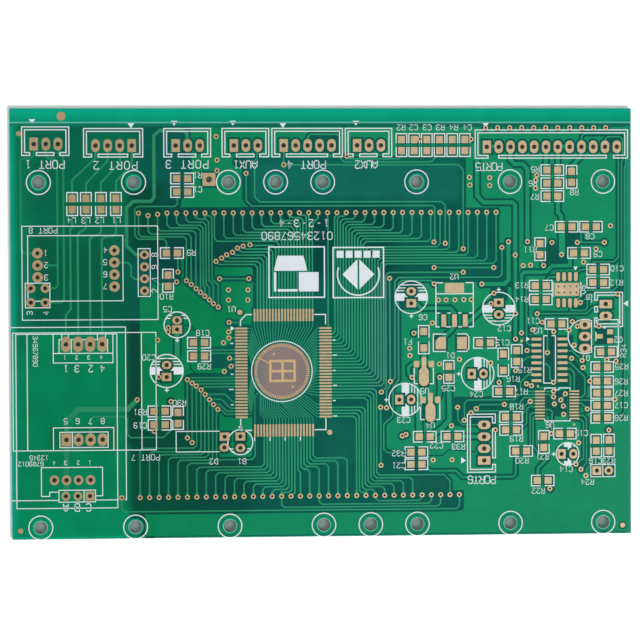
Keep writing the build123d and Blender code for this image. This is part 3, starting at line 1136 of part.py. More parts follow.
def main():
    os.makedirs("parts", exist_ok=True)
    flat = flat_lands()
    lands = [face for faces in flat.values() for face in faces]
    plated_lands = [p.land() for p in PLATED]
    bare = lands + plated_lands
    mask_holes = [disc(x, y, HOLE_MASK_D) for x, y in HOLES]
    window = disc(DIE_X, DIE_Y, 2 * WINDOW_R)

    for name, faces in flat.items():
        write(name, raised(faces, TOP_Z, LAND_T))
    for name, group in ALL_PLATED.items():
        write(name, [p.solid() for p in group])

    floor = cut([window], flat["bond_fingers"] + flat["die_pad"])
    write("die_site_floor", raised(floor, TOP_Z, FLOOR_T))

    taken = []
    for name, group in TRACK_GROUPS.items():
        faces = joined([stroke(path, width) for width, path in group] + TEARDROPS.get(name, []))
        faces = cut(faces, bare + [window] + taken)
        taken += faces
        write(name, raised(faces, TOP_Z, COAT_T))

    pour = ground_pour(bare, taken)
    write("ground_pour", raised(pour, TOP_Z, COAT_T))

    film = cut([BOARD], [SCORE_STRIP])
    film = cut(film, bare + [window] + mask_holes + taken + pour)
    write("solder_mask_top", raised(film, TOP_Z, COAT_T))

    thermal = [small_disc(x, y, CONVERTER_DRILL, DRILL_SIDES) for x, y in CONVERTER_DRILLS]
    under = cut([BOARD], [SCORE_STRIP])
    under = cut(under, plated_lands + mask_holes + thermal)
    write("solder_mask_bottom", raised(under, 0, COAT_T))

    drilled = [p.bore(PLATING) for p in PLATED] + [disc(x, y, HOLE_D) for x, y in HOLES] + thermal
    core = raised(cut([BOARD], drilled), CORE_Z, CORE_T)
    write("laminate_core", [scored(core[0])])

    for name, faces in legends(bare).items():
        write(name, raised(faces, FACE_Z, LEGEND_T))


main()
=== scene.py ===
"""Finish of a bare control board: masks, inks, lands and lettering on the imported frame.

The plates, lands, tracks and the printed outlines are the frame's own solids. This script gives
each of them its surface, prints the lettering and the two filled emblems, and sets up the studio.
"""
import logging
import math
from dataclasses import dataclass
from enum import Enum

import bmesh
import bpy
from mathutils import Euler, Matrix, Vector


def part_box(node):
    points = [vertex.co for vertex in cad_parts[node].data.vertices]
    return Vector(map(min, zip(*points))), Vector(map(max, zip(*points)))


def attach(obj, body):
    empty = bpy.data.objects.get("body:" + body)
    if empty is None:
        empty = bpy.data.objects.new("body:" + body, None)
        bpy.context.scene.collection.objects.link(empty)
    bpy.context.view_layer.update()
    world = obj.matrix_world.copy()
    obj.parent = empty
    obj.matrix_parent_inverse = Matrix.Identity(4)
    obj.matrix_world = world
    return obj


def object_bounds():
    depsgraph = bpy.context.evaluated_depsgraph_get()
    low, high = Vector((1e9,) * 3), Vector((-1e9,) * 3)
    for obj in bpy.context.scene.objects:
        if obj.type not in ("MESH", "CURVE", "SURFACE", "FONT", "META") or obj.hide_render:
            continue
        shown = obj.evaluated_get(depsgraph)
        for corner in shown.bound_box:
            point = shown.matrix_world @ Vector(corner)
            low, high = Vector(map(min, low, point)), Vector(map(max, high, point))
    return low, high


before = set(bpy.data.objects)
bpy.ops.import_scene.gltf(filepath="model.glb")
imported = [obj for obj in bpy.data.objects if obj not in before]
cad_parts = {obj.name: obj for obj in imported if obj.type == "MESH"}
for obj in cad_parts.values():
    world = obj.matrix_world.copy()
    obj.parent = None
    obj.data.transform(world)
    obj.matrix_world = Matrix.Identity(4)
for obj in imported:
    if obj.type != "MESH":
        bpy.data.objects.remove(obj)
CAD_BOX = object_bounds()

log = logging.getLogger("board")

MM = 0.001
Point = tuple[float, float]
Links = dict[str, bpy.types.NodeSocket]


# ------------------------------------------------------------------ places, from the frame


@dataclass(frozen=True)
class BoardPlan:
    """The board's own plan: millimetres from its lower left corner, x right and y up."""

    low: Vector

    def spot(self, x: float, y: float, z: float = 0.0) -> Vector:
        """A point of the plan in the frame.

        Args:
            x: millimetres from the left edge.
            y: millimetres from the lower edge.
            z: height in metres.

        Returns:
            The point in metres.
        """
        return Vector((self.low.x + x * MM, self.low.y + y * MM, z))


PLAN = BoardPlan(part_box("laminate_core")[0])
FACE_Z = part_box("solder_mask_top")[1].z
INK_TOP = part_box("legend_chips")[1].z
INK_T = INK_TOP - FACE_Z


# ------------------------------------------------------------------ small helpers


def linear(hex_colour: str) -> tuple[float, float, float, float]:
    """An sRGB hex colour as the linear colour that nodes use.

    Args:
        hex_colour: such as "#1A8C5C".

    Returns:
        Red, green, blue and an alpha of one.
    """
    parts = [int(hex_colour[i:i + 2], 16) / 255 for i in (1, 3, 5)]
    out = [c / 12.92 if c <= 0.04045 else ((c + 0.055) / 1.055) ** 2.4 for c in parts]
    return (*out, 1.0)


def add_node(tree: bpy.types.NodeTree, kind: str, links: Links | None = None,
             inputs: dict[str | int, object] | None = None, **settings: object) -> bpy.types.Node:
    """Adds a node with its settings, its fixed inputs and its links.

    Args:
        tree: the tree that it goes into.
        kind: the node's type name.
        links: input name or index, to the socket that feeds it.
        inputs: input name or index, to its fixed value.
        settings: the node's own properties.

    Returns:
        The node.
    """
    node = tree.nodes.new(kind)
    for name, value in settings.items():
        setattr(node, name, value)
    for name, value in (inputs or {}).items():
        node.inputs[name].default_value = value
    for name, socket in (links or {}).items():
        tree.links.new(socket, node.inputs[name])
    return node


def dress(node_name: str, material: bpy.types.Material) -> None:
    """Gives a CAD node its finish.

    Args:
        node_name: the node's name in the frame.
        material: the finish.
    """
    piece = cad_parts[node_name]
    if not piece.data.materials:
        piece.data.materials.append(material)
    for slot in piece.material_slots:
        slot.material = material


# ------------------------------------------------------------------ finishes


class Axis(Enum):
    """An axis of the plan, as the nodes name it."""

    X = "X"
    Y = "Y"


@dataclass(frozen=True)
class Zone:
    """A soft-edged rectangle of the plan in which a colour changes."""

    left: float
    bottom: float
    right: float
    top: float
    feather: float
    colour: str
    strength: float = 1.0


@dataclass(frozen=True)
class Glow:
    """Painted light: a brighter ring that stands for light leaking through the laminate beside the
    mounting holes.
    """

    rows: tuple[tuple[float, tuple[float, ...]], ...]
    inner: float
    outer: float
    colour: str


@dataclass(frozen=True)
class Cloud:
    """Cloudy brightness: the size of a cloud, and its darkest and brightest factors."""

    size_mm: float
    darkest: float
    brightest: float


@dataclass(frozen=True)
class Patches:
    """A second colour in patches: their size, the noise they begin and end at, their cover."""

    colour: str
    size_mm: float
    start: float
    end: float
    share: float


@dataclass(frozen=True)
class Relief:
    """Fine relief: the size of its grain, its depth and how much of it counts."""

    size_mm: float
    depth_mm: float
    strength: float


@dataclass(frozen=True)
class Sheen:
    """A roughness that drifts in patches: their size, the lowest roughness and its span."""

    size_mm: float
    least: float
    span: float


NOISE_LOW, NOISE_HIGH = 0.3, 0.7        # nearly all of the grain lies between these


class Painter:
    """Builds one material's colour from its base tone, its zones and its grain."""

    def __init__(self, name: str) -> None:
        """Starts an empty material.

        Args:
            name: the finish's name.
        """
        self.material = bpy.data.materials.new(name)
        self.material.use_nodes = True
        self.tree = self.material.node_tree
        self.tree.nodes.clear()
        self.output = add_node(self.tree, "ShaderNodeOutputMaterial")
        place = add_node(self.tree, "ShaderNodeTexCoord")
        self.object_place = place.outputs["Object"]
        parts = add_node(self.tree, "ShaderNodeSeparateXYZ", {"Vector": self.object_place})
        self.axis = {a: parts.outputs[a.value] for a in Axis}

    def ramp(self, value: bpy.types.NodeSocket, start: float, end: float) -> bpy.types.NodeSocket:
        """A smooth rise from 0 at start to 1 at end.

        Args:
            value: what is measured.
            start: where the rise begins.
            end: where it ends.

        Returns:
            The socket that gives the rise.
        """
        node = add_node(self.tree, "ShaderNodeMapRange", {"Value": value},
                        {"From Min": start, "From Max": end}, interpolation_type="SMOOTHSTEP")
        return node.outputs["Result"]

    def math(self, operation: str, a: bpy.types.NodeSocket | float,
             b: bpy.types.NodeSocket | float) -> bpy.types.NodeSocket:
        """One sum of two values.

        Args:
            operation: Blender's name for it.
            a: the first value or socket.
            b: the second value or socket.

        Returns:
            The socket that gives the result.
        """
        node = add_node(self.tree, "ShaderNodeMath", operation=operation)
        for i, value in enumerate((a, b)):
            if isinstance(value, bpy.types.NodeSocket):
                self.tree.links.new(value, node.inputs[i])
            else:
                node.inputs[i].default_value = value
        return node.outputs["Value"]

    def blend(self, under: bpy.types.NodeSocket | str, over: bpy.types.NodeSocket | str,
              share: bpy.types.NodeSocket | float) -> bpy.types.NodeSocket:
        """One colour over another.

        Args:
            under: a colour socket or an sRGB hex colour.
            over: the same, laid over it.
            share: how much of it covers, from 0 to 1.

        Returns:
            The socket that gives the colour.
        """
        node = add_node(self.tree, "ShaderNodeMix", data_type="RGBA")
        for name, value in (("A", under), ("B", over)):
            socket = next(s for s in node.inputs if s.name == name and s.type == "RGBA")
            if isinstance(value, str):
                socket.default_value = linear(value)
            else:
                self.tree.links.new(value, socket)
        if isinstance(share, float):
            node.inputs["Factor"].default_value = share
        else:
            self.tree.links.new(share, node.inputs["Factor"])
        return next(s for s in node.outputs if s.type == "RGBA")

    def inside(self, zone: Zone) -> bpy.types.NodeSocket:
        """How far a point lies inside a soft rectangle.

        Args:
            zone: the rectangle.

        Returns:
            The socket that gives 1 well inside it and 0 well outside.
        """
        low = PLAN.spot(zone.left, zone.bottom)
        high = PLAN.spot(zone.right, zone.top)
        soft = zone.feather * MM
        x, y = self.axis[Axis.X], self.axis[Axis.Y]
        across = self.math("MULTIPLY", self.ramp(x, low.x - soft, low.x + soft),
                           self.ramp(x, high.x + soft, high.x - soft))
        along = self.math("MULTIPLY", self.ramp(y, low.y - soft, low.y + soft),
                          self.ramp(y, high.y + soft, high.y - soft))
        return self.math("MULTIPLY", across, along)

    def zones(self, base: bpy.types.NodeSocket | str, zones: tuple[Zone, ...]) -> bpy.types.NodeSocket:
        """Lays soft rectangles over a base colour.

        Args:
            base: a colour socket or an sRGB hex colour.
            zones: the rectangles, the last on top.

        Returns:
            The socket that gives the colour.
        """
        colour = base
        for zone in zones:
            share = self.math("MULTIPLY", self.inside(zone), zone.strength)
            colour = self.blend(colour, zone.colour, share)
        return colour

    def glow(self, base: bpy.types.NodeSocket, glow: Glow) -> bpy.types.NodeSocket:
        """Paints light: brightens a narrow ring round each mounting hole.

        Args:
            base: the colour so far.
            glow: where the holes are and what leaks there.

        Returns:
            The socket that gives the colour.
        """
        nearest: bpy.types.NodeSocket | None = None
        flat = add_node(self.tree, "ShaderNodeCombineXYZ",
                        {"X": self.axis[Axis.X], "Y": self.axis[Axis.Y]}).outputs["Vector"]
        for y, row in glow.rows:
            for x in row:
                gap = add_node(self.tree, "ShaderNodeVectorMath", {0: flat},
                               {1: PLAN.spot(x, y)}, operation="DISTANCE").outputs["Value"]
                nearest = gap if nearest is None else self.math("MINIMUM", nearest, gap)
        share = self.ramp(nearest, glow.outer * MM, glow.inner * MM)
        return self.blend(base, glow.colour, share)

    def grain(self, size_mm: float, detail: float = 3.0) -> bpy.types.NodeSocket:
        """Noise whose blotches are about one size.

        Args:
            size_mm: the size of a blotch in millimetres.
            detail: how many finer octaves it has.

        Returns:
            The socket that gives a value round 0.5.
        """
        node = add_node(self.tree, "ShaderNodeTexNoise", {"Vector": self.object_place},
                        {"Scale": 1.0 / (size_mm * MM), "Detail": detail})
        return node.outputs["Fac"]

    def mottle(self, colour: bpy.types.NodeSocket, cloud: Cloud) -> bpy.types.NodeSocket:
        """Makes the brightness cloudy.

        Args:
            colour: the colour so far.
            cloud: the clouds.

        Returns:
            The socket that gives the colour.
        """
        factor = add_node(self.tree, "ShaderNodeMapRange", {"Value": self.grain(cloud.size_mm)},
                          {"From Min": NOISE_LOW, "From Max": NOISE_HIGH,
                           "To Min": cloud.darkest, "To Max": cloud.brightest})
        node = add_node(self.tree, "ShaderNodeHueSaturation",
                        {"Color": colour, "Value": factor.outputs["Result"]})
        return node.outputs["Color"]

    def patch(self, colour: bpy.types.NodeSocket | str, patches: Patches) -> bpy.types.NodeSocket:
        """Lays a second colour over the first in patches.

        Args:
            colour: a colour socket or an sRGB hex colour.
            patches: the second colour and where it shows.

        Returns:
            The socket that gives the colour.
        """
        cover = self.ramp(self.grain(patches.size_mm), patches.start, patches.end)
        return self.blend(colour, patches.colour, self.math("MULTIPLY", cover, patches.share))

    def drift(self, sheen: Sheen) -> bpy.types.NodeSocket:
        """A varying roughness.

        Args:
            sheen: how it varies.

        Returns:
            The socket that gives the roughness.
        """
        node = add_node(self.tree, "ShaderNodeMath", {0: self.grain(sheen.size_mm)},
                        {1: sheen.span, 2: sheen.least}, operation="MULTIPLY_ADD")
        return node.outputs["Value"]

    def lift(self, relief: Relief, layers: bpy.types.NodeSocket | None = None) -> bpy.types.NodeSocket:
        """A bumped normal.

        Args:
            relief: the fine relief.
            layers: a height that the grain is added to, if there is one.

        Returns:
            The socket that gives the normal.
        """
        height = self.grain(relief.size_mm)
        if layers is not None:
            height = self.math("ADD", layers, height)
        node = add_node(self.tree, "ShaderNodeBump", {"Height": height},
                        {"Distance": relief.depth_mm * MM, "Strength": relief.strength})
        return node.outputs["Normal"]

    def finish(self, colour: bpy.types.NodeSocket, normal: bpy.types.NodeSocket | None,
               shader: dict[str, float], roughness: bpy.types.NodeSocket | None = None,
               leak: bpy.types.NodeSocket | None = None) -> bpy.types.Material:
        """Closes the material with its shader.

        Args:
            colour: the surface's colour.
            normal: the bumped normal, if it has one.
            shader: fixed values for the shader's own sockets.
            roughness: a varying roughness, if it has one.
            leak: how strongly it gives off light in its own colour, if it does.

        Returns:
            The material.
        """
        links: Links = {"Base Color": colour}
        if leak is not None:
            links |= {"Emission Color": colour, "Emission Strength": leak}
        if normal is not None:
            links["Normal"] = normal
        if roughness is not None:
            links["Roughness"] = roughness
        surface = add_node(self.tree, "ShaderNodeBsdfPrincipled", links, dict(shader))
        self.tree.links.new(surface.outputs["BSDF"], self.output.inputs["Surface"])
        return self.material


MASK_SHADER = {"IOR": 1.5, "Specular IOR Level": 0.045, "Coat Weight": 0.0}
TABLE_SHADER = {"Roughness": 0.9, "Specular IOR Level": 0.1}
DRY_SPECULAR = 0.3                      # specular level of bare resin and of dry ink

# Centres of the mounting holes: the height of each row, then the places along it.
HOLE_ROWS = ((75.4, (6.0, 26.0, 46.0, 56.0, 66.0, 86.0, 106.0, 126.0)),
             (2.45, (6.0, 26.0, 46.0, 66.0, 76.0, 86.0, 106.0, 126.0)))


@dataclass(frozen=True)
class MaskOverLaminate:
    """Green solder mask, screened on glass laminate and cured.

    The resin under it lets light through, and that light and the shade are painted into its zones:
    painted shade darkens the narrow gaps between copper, and painted light brightens it where a
    wide field is free of copper, along the cut edges, on the rail and round the holes.
    """

    name: str = "solder_mask_over_glass_laminate"
    base: str = "#04594C"
    zones: tuple[Zone, ...] = (
        # Painted shade: darker where tracks run close and the gaps between them are narrow.
        Zone(30, 55.5, 82, 71.2, 2.5, "#03473F"),
        Zone(27, 2, 52, 26, 4, "#03493D"),
        Zone(20, -5, 40, 40, 6, "#024B39"),
        Zone(104, 20, 134, 44, 5, "#075648", 0.9),
        # Painted light on the left, where the laminate lets more light through, with one darker strip of
        # painted shade beside the copper.
        Zone(-5, -5, 24.5, 45, 1.6, "#007F55"),
        Zone(-5, 44.5, 25, 68, 2.2, "#025E44"),
        Zone(-5, 64, 27, 88, 3.0, "#01684B"),
        Zone(24.8, 59, 32, 75, 1.5, "#024A37"),
        Zone(-5, 40, 4.5, 88, 2.0, "#037352"),
        # Painted light on the wide fields that are free of copper.
        Zone(51, 71.5, 95.5, 80, 1.6, "#0D6859"),
        Zone(66, 15.5, 72.3, 24.5, 1.2, "#0A6150"),
        Zone(85, 9.6, 92.4, 12.4, 1.0, "#0A604F"),
        # More painted light at the lower left, and a strip of painted shade beside the copper.
        Zone(8.0, 19.0, 22.0, 23.8, 1.0, "#026645", 0.7),
        Zone(-5, -5, 24.5, 6.5, 1.5, "#008A5E", 0.9),
        Zone(24.6, 20.0, 27.2, 46, 0.9, "#054536", 0.9),
        # Painted light along the cut edges.
        Zone(-6, -5, 0.9, 96, 0.9, "#04A182"),
        Zone(-6, -4, 28, 0.4, 0.5, "#04A07C"),
        Zone(130.9, -4, 140, 96, 0.35, "#1C8C74"),
        Zone(30, -4, 140, 0.2, 0.25, "#22977F"),
        # Painted light on the rail and along the score.
        Zone(-6, 87.2, 45, 96, 0.4, "#087E60", 0.8),
        Zone(45, 87.2, 140, 96, 0.4, "#0E6C58", 0.8),
        Zone(-6, 88.05, 140, 96, 0.05, "#009575"),
        Zone(-6, 89.2, 140, 96, 0.9, "#02A684"),
    )
    # Painted light in a ring round each mounting hole.
    glow: Glow = Glow(HOLE_ROWS, 1.5, 1.95, "#0AA588")
    cloud: Cloud = Cloud(5.0, 0.84, 0.98)
    peel: Relief = Relief(0.35, 0.01, 0.25)
    sheen: Sheen = Sheen(1.2, 0.24, 0.12)

    def material(self) -> bpy.types.Material:
        """Builds it: zones of painted light and shade, painted glow round the holes, faint cloud and the
        soft peel of a screened film.
        """
        paint = Painter(self.name)
        colour = paint.zones(self.base, self.zones)
        colour = paint.glow(colour, self.glow)
        colour = paint.mottle(colour, self.cloud)
        return paint.finish(colour, paint.lift(self.peel), MASK_SHADER, paint.drift(self.sheen))


@dataclass(frozen=True)
class MaskOverCopper:
    """The same green mask over copper foil, which throws the light back: a clear mid green."""

    name: str
    base: str
    zones: tuple[Zone, ...]
    cloud: Cloud = Cloud(3.5, 0.88, 1.0)
    tooth: Relief = Relief(0.3, 0.01, 0.3)
    sheen: Sheen = Sheen(0.8, 0.22, 0.12)

    def material(self) -> bpy.types.Material:
        """Builds it: zones, faint cloud and the brushed tooth of the foil under the film."""
        paint = Painter(self.name)
        colour = paint.mottle(paint.zones(self.base, self.zones), self.cloud)
        return paint.finish(colour, paint.lift(self.tooth), MASK_SHADER, paint.drift(self.sheen))


def leftward(colour: str) -> Zone:
    """A colour that takes over from the board's right half to its left edge.

    Args:
        colour: an sRGB hex colour.

    Returns:
        The zone.
    """
    return Zone(-200, -200, 45, 300, 45.0, colour)


@dataclass(frozen=True)
class LandCoat:
    """Bare copper land under a thin organic coat: matte, pale tan, darker toward the left."""

    name: str
    base: str
    left: str
    metallic: float = 0.25
    cloud: Cloud = Cloud(0.7, 0.88, 1.08)
    tooth: Relief = Relief(0.25, 0.012, 0.5)
    sheen: Sheen = Sheen(0.5, 0.38, 0.2)

    def material(self) -> bpy.types.Material:
        """Builds it: two tones along the board, mottled, with the foil's fine tooth."""
        paint = Painter(self.name)
        colour = paint.mottle(paint.zones(self.base, (leftward(self.left),)), self.cloud)
        return paint.finish(colour, paint.lift(self.tooth), {"Metallic": self.metallic},
                            paint.drift(self.sheen))


@dataclass(frozen=True)
class LegendInk:
    """White epoxy ink, screened: flat, slightly blue, thin enough to let a little green by."""

    name: str = "white_legend_ink"
    full: str = "#DADFE4"
    thin: Patches = Patches("#A9C3BF", 0.45, 0.45, 0.85, 0.5)
    tooth: Relief = Relief(0.2, 0.01, 0.35)
    roughness: float = 0.62

    def material(self) -> bpy.types.Material:
        """Builds it: ink that thins in small patches."""
        paint = Painter(self.name)
        return paint.finish(paint.patch(self.full, self.thin), paint.lift(self.tooth),
                            {"Roughness": self.roughness, "Specular IOR Level": DRY_SPECULAR})


@dataclass(frozen=True)
class DieFloor:
    """Bare resin in the die site: mauve, greener toward the side that the light comes from."""

    name: str = "bare_resin_die_floor"
    base: str = "#86726F"
    zones: tuple[Zone, ...] = (
        Zone(40, 20, 53.2, 50, 1.3, "#5E6F70", 0.9),
        Zone(61, 20, 80, 50, 2.0, "#75696C", 0.8),
    )
    cloth: Patches = Patches("#6F5D5B", 0.4, 0.4, 0.7, 0.35)
    tooth: Relief = Relief(0.25, 0.02, 0.4)
    roughness: float = 0.55

    def material(self) -> bpy.types.Material:
        """Builds it: three tones across the site and the glass cloth showing faintly."""
        paint = Painter(self.name)
        colour = paint.patch(paint.zones(self.base, self.zones), self.cloth)
        return paint.finish(colour, paint.lift(self.tooth),
                            {"Roughness": self.roughness, "Specular IOR Level": DRY_SPECULAR})


WAVES_A_UNIT = 20.0                     # bands that the wave texture draws at a scale of one


@dataclass(frozen=True)
class GlassLaminate:
    """Woven glass in epoxy, sawn and drilled: pale green-grey, with the plies along its edges."""

    name: str = "woven_glass_laminate"
    resin: str = "#6FA98C"
    ply: str = "#A9C4A4"
    ply_mm: float = 0.19
    ply_share: float = 0.7
    ply_edges: tuple[float, float] = (0.25, 0.8)
    wander: float = 1.5
    wander_detail: float = 2.0
    fibre: Patches = Patches("#3E8C72", 0.3, 0.4, 0.7, 0.4)
    tooth: Relief = Relief(0.2, 0.03, 0.6)
    roughness: float = 0.7
    # Painted light: a paler colour and a faint glow where the cut glass of the score scatters the light.
    score_glow: Zone = Zone(-5, 87.7, 137, 88.3, 0.05, "#70BBAA", 0.3)

    def material(self) -> bpy.types.Material:
        """Builds it: level plies across the thickness, fibre ends along them and painted light on the
        score.
        """
        paint = Painter(self.name)
        layers = add_node(paint.tree, "ShaderNodeTexWave", {"Vector": paint.object_place},
                          {"Scale": 1.0 / (WAVES_A_UNIT * self.ply_mm * MM),
                           "Distortion": self.wander, "Detail": self.wander_detail},
                          bands_direction="Z").outputs["Fac"]
        cloth = paint.ramp(layers, *self.ply_edges)
        colour = paint.blend(self.resin, self.ply, paint.math("MULTIPLY", cloth, self.ply_share))
        colour = paint.patch(colour, self.fibre)
        score_glow = paint.inside(self.score_glow)
        colour = paint.blend(colour, self.score_glow.colour, score_glow)
        return paint.finish(colour, paint.lift(self.tooth, layers),
                            {"Roughness": self.roughness, "Specular IOR Level": DRY_SPECULAR},
                            leak=paint.math("MULTIPLY", score_glow, self.score_glow.strength))


LAND = LandCoat("coated_copper_land", "#BEA782", "#A48B66")
VIA = LandCoat("plated_via_land", "#C2AA84", "#AA8F69", metallic=0.3, sheen=Sheen(0.5, 0.32, 0.2))
BOND_GOLD = LandCoat("soft_bond_gold", "#C4A474", "#C4A474", metallic=0.4,
                     tooth=Relief(0.15, 0.012, 0.5), sheen=Sheen(0.5, 0.3, 0.2))

LAND_NODES = ("top_connector_lands", "module_lands", "jumper_lands", "capacitor_lands", "chip_lands",
              "processor_lands", "driver_lands", "port_lands", "converter_lands", "regulator_lands",
              "diode_lands", "transistor_lands", "fiducials")
POUR_MASK = MaskOverCopper("solder_mask_over_copper_pour", "#148A60", (
    Zone(-5, -5, 50, 96, 6.0, "#057C4E"),
    Zone(24, 70, 60, 96, 4.0, "#0C8356", 0.8),
    Zone(30, -4, 140, 5.2, 1.0, "#0F855C", 0.6),
    Zone(-5, 44, 26, 96, 2.0, "#0B7F57", 0.7),
    Zone(52, 52, 96, 70, 5.0, "#248361", 0.55),
))
# Narrow foil is plated a little thicker than the pour, so the mask over it is thinner and paler.
TRACK_MASK = MaskOverCopper("solder_mask_over_narrow_tracks", "#2E956C", (
    Zone(-5, -5, 50, 96, 3.0, "#2B8860"),
    Zone(-5, -5, 12, 96, 2.0, "#1E8459"),
    Zone(76, 30, 84, 56, 1.5, "#43937A"),
))
FEED_MASK = MaskOverCopper("solder_mask_over_wide_tracks", "#1E9066", (
    Zone(-5, -5, 50, 96, 6.0, "#12855A"),
))
# Its rail zone is painted light, as on the top face.
UNDER_MASK = MaskOverCopper("solder_mask_over_underside_pour", "#12805A", (
    Zone(-5, 88, 140, 96, 0.2, "#009575"),
))

VIA_NODES = ("upper_via_row", "lower_via_row", "slanted_vias", "connector_vias", "loose_vias")
GOLD_NODES = ("bond_fingers", "die_pad")
TRACK_NODES = ("upper_bus_tracks", "lower_bus_tracks", "processor_fan_tracks", "supply_tracks",
               "sensor_tracks", "signal_tracks")
INK_NODES = ("legend_connectors", "legend_hole_rings", "legend_chips", "legend_capacitors",
             "legend_modules", "legend_packages")


class BoardFinishes:
    """Dresses every solid of the frame."""

    def __init__(self) -> None:
        """Makes the materials that more than one class uses."""
        self.ink = LegendInk().material()

    def dress_all(self) -> None:
        """Gives each CAD node its finish."""
        groups = ((("solder_mask_top",), MaskOverLaminate().material()),
                  (("solder_mask_bottom",), UNDER_MASK.material()),
                  (("ground_pour",), POUR_MASK.material()), (TRACK_NODES, TRACK_MASK.material()),
                  (("power_tracks",), FEED_MASK.material()), (LAND_NODES, LAND.material()),
                  (VIA_NODES, VIA.material()), (GOLD_NODES, BOND_GOLD.material()),
                  (INK_NODES, self.ink), (("die_site_floor",), DieFloor().material()),
                  (("laminate_core",), GlassLaminate().material()))
        for names, material in groups:
            for name in names:
                dress(name, material)
            log.info("%s on %d nodes", material.name, len(names))


# ------------------------------------------------------------------ lettering

# Each glyph is drawn on a grid four wide and six high. A stroke is a run of "xy" points.
GLYPHS = {
    "0": "10-01-05-16-36-45-41-30-10", "1": "15-26-20 10-30", "2": "05-16-36-45-44-00-40",
    "3": "05-16-36-45-44-33-42-41-30-10-01 13-33", "4": "30-36-02-42",
    "5": "46-06-03-34-43-41-30-10-01", "6": "45-36-16-05-01-10-30-41-42-33-13-02",
    "7": "06-46-10", "8": "13-04-05-16-36-45-44-33-13-02-01-10-30-41-42-33",
    "9": "01-10-30-41-45-36-16-05-04-13-33-44", "A": "00-04-26-44-40 02-42",
    "B": "00-06-36-45-44-33-03 33-42-41-30-00", "C": "45-36-16-05-01-10-30-41",
    "D": "00-06-26-44-42-20-00", "F": "46-06-00 03-33",
    "J": "01-10-30-41-46", "L": "06-00-40", "O": "10-01-05-16-36-45-41-30-10", "P": "00-06-36-45-44-33-03",
    "Q": "10-01-05-16-36-45-41-30-10 22-40", "R": "00-06-36-45-44-33-03 23-40",
    "T": "06-46 26-20", "U": "06-01-10-30-41-46", "X": "00-46 06-40", "-": "13-33",
}
GLYPH_WIDE, GLYPH_HIGH = 4.0, 6.0
GLYPH_SHAPE = 0.62                      # a letter's width over its height


@dataclass(frozen=True)
class Label:
    """A line of lettering, centred on a point of the plan."""

    text: str
    x: float
    y: float
    height: float = 1.15
    turn: float = 180.0
    pitch: float = 0.86

    def strokes(self) -> list[list[Vector]]:
        """The pen strokes of the whole line.

        Returns:
            Runs of points in metres on the board's face.
        """
        glyph_w = GLYPH_SHAPE * self.height
        advance = self.pitch * self.height
        turn = Matrix.Rotation(math.radians(self.turn), 2)
        start = -(advance * (len(self.text) - 1) + glyph_w) / 2
        runs = []
        for i, letter in enumerate(self.text):
            for stroke in GLYPHS.get(letter, "").split():
                run = []
                for pair in stroke.split("-"):
                    u = start + i * advance + int(pair[0]) / GLYPH_WIDE * glyph_w
                    v = (int(pair[1]) / GLYPH_HIGH - 0.5) * self.height
                    away = turn @ Vector((u, v))
                    run.append(PLAN.spot(self.x + away.x, self.y + away.y, FACE_Z + INK_T / 2))
                runs.append(run)
        return runs


class PenTree:
    """Geometry Nodes tree that draws flat pen strokes along a mesh of lines."""

    def __init__(self) -> None:
        """Builds the tree: lines to curves, kept level, swept with a flat rectangle."""
        tree = bpy.data.node_groups.new("pen_strokes", "GeometryNodeTree")
        face = tree.interface
        face.new_socket("Geometry", in_out="INPUT", socket_type="NodeSocketGeometry")
        self.sockets = {}
        for name in ("Line width", "Ink thickness"):
            socket = face.new_socket(name, in_out="INPUT", socket_type="NodeSocketFloat")
            self.sockets[name] = socket.identifier
        ink = face.new_socket("Ink", in_out="INPUT", socket_type="NodeSocketMaterial")
        self.sockets["Ink"] = ink.identifier
        face.new_socket("Geometry", in_out="OUTPUT", socket_type="NodeSocketGeometry")
        given = add_node(tree, "NodeGroupInput").outputs
        curve = add_node(tree, "GeometryNodeMeshToCurve", {"Mesh": given["Geometry"]})
        level = add_node(tree, "GeometryNodeSetCurveNormal", {"Curve": curve.outputs["Curve"]},
                         mode="Z_UP")
        nib = add_node(tree, "GeometryNodeCurvePrimitiveQuadrilateral",
                       {"Width": given["Line width"], "Height": given["Ink thickness"]})
        swept = add_node(tree, "GeometryNodeCurveToMesh",
                         {"Curve": level.outputs["Curve"], "Profile Curve": nib.outputs["Curve"]},
                         {"Fill Caps": True})
        real = add_node(tree, "GeometryNodeRealizeInstances", {"Geometry": swept.outputs["Mesh"]})
        inked = add_node(tree, "GeometryNodeSetMaterial",
                         {"Geometry": real.outputs["Geometry"], "Material": given["Ink"]})
        add_node(tree, "NodeGroupOutput", {"Geometry": inked.outputs["Geometry"]})
        self.tree = tree

    def draw(self, name: str, runs: list[list[Vector]], width_mm: float,
             ink: bpy.types.Material) -> bpy.types.Object:
        """Draws strokes and bakes them to a plain mesh.

        Args:
            name: the piece's name.
            runs: the strokes, each a run of points in metres.
            width_mm: the pen's width in millimetres.
            ink: the finish.

        Returns:
            The piece, at the origin.
        """
        mesh = bpy.data.meshes.new(name + "_lines")
        points, edges = [], []
        for run in runs:
            edges += [(len(points) + i, len(points) + i + 1) for i in range(len(run) - 1)]
            points += run
        mesh.from_pydata(points, edges, [])
        piece = bpy.data.objects.new(name, mesh)
        bpy.context.scene.collection.objects.link(piece)
        modifier = piece.modifiers.new("pen", "NODES")
        modifier.node_group = self.tree
        modifier[self.sockets["Line width"]] = width_mm * MM
        modifier[self.sockets["Ink thickness"]] = INK_T
        modifier[self.sockets["Ink"]] = ink
        seen = piece.evaluated_get(bpy.context.evaluated_depsgraph_get())
        baked = bpy.data.meshes.new_from_object(seen)
        piece.modifiers.clear()
        piece.data = baked
        baked.name = name
        return piece


def keep(piece: bpy.types.Object) -> None:
    """Declares a finished piece: it rides on the board and takes its finish from a slot.

    Args:
        piece: the piece.
    """
    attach(piece, "root")
    log.info("%s: %d faces", piece.name, len(piece.data.polygons))


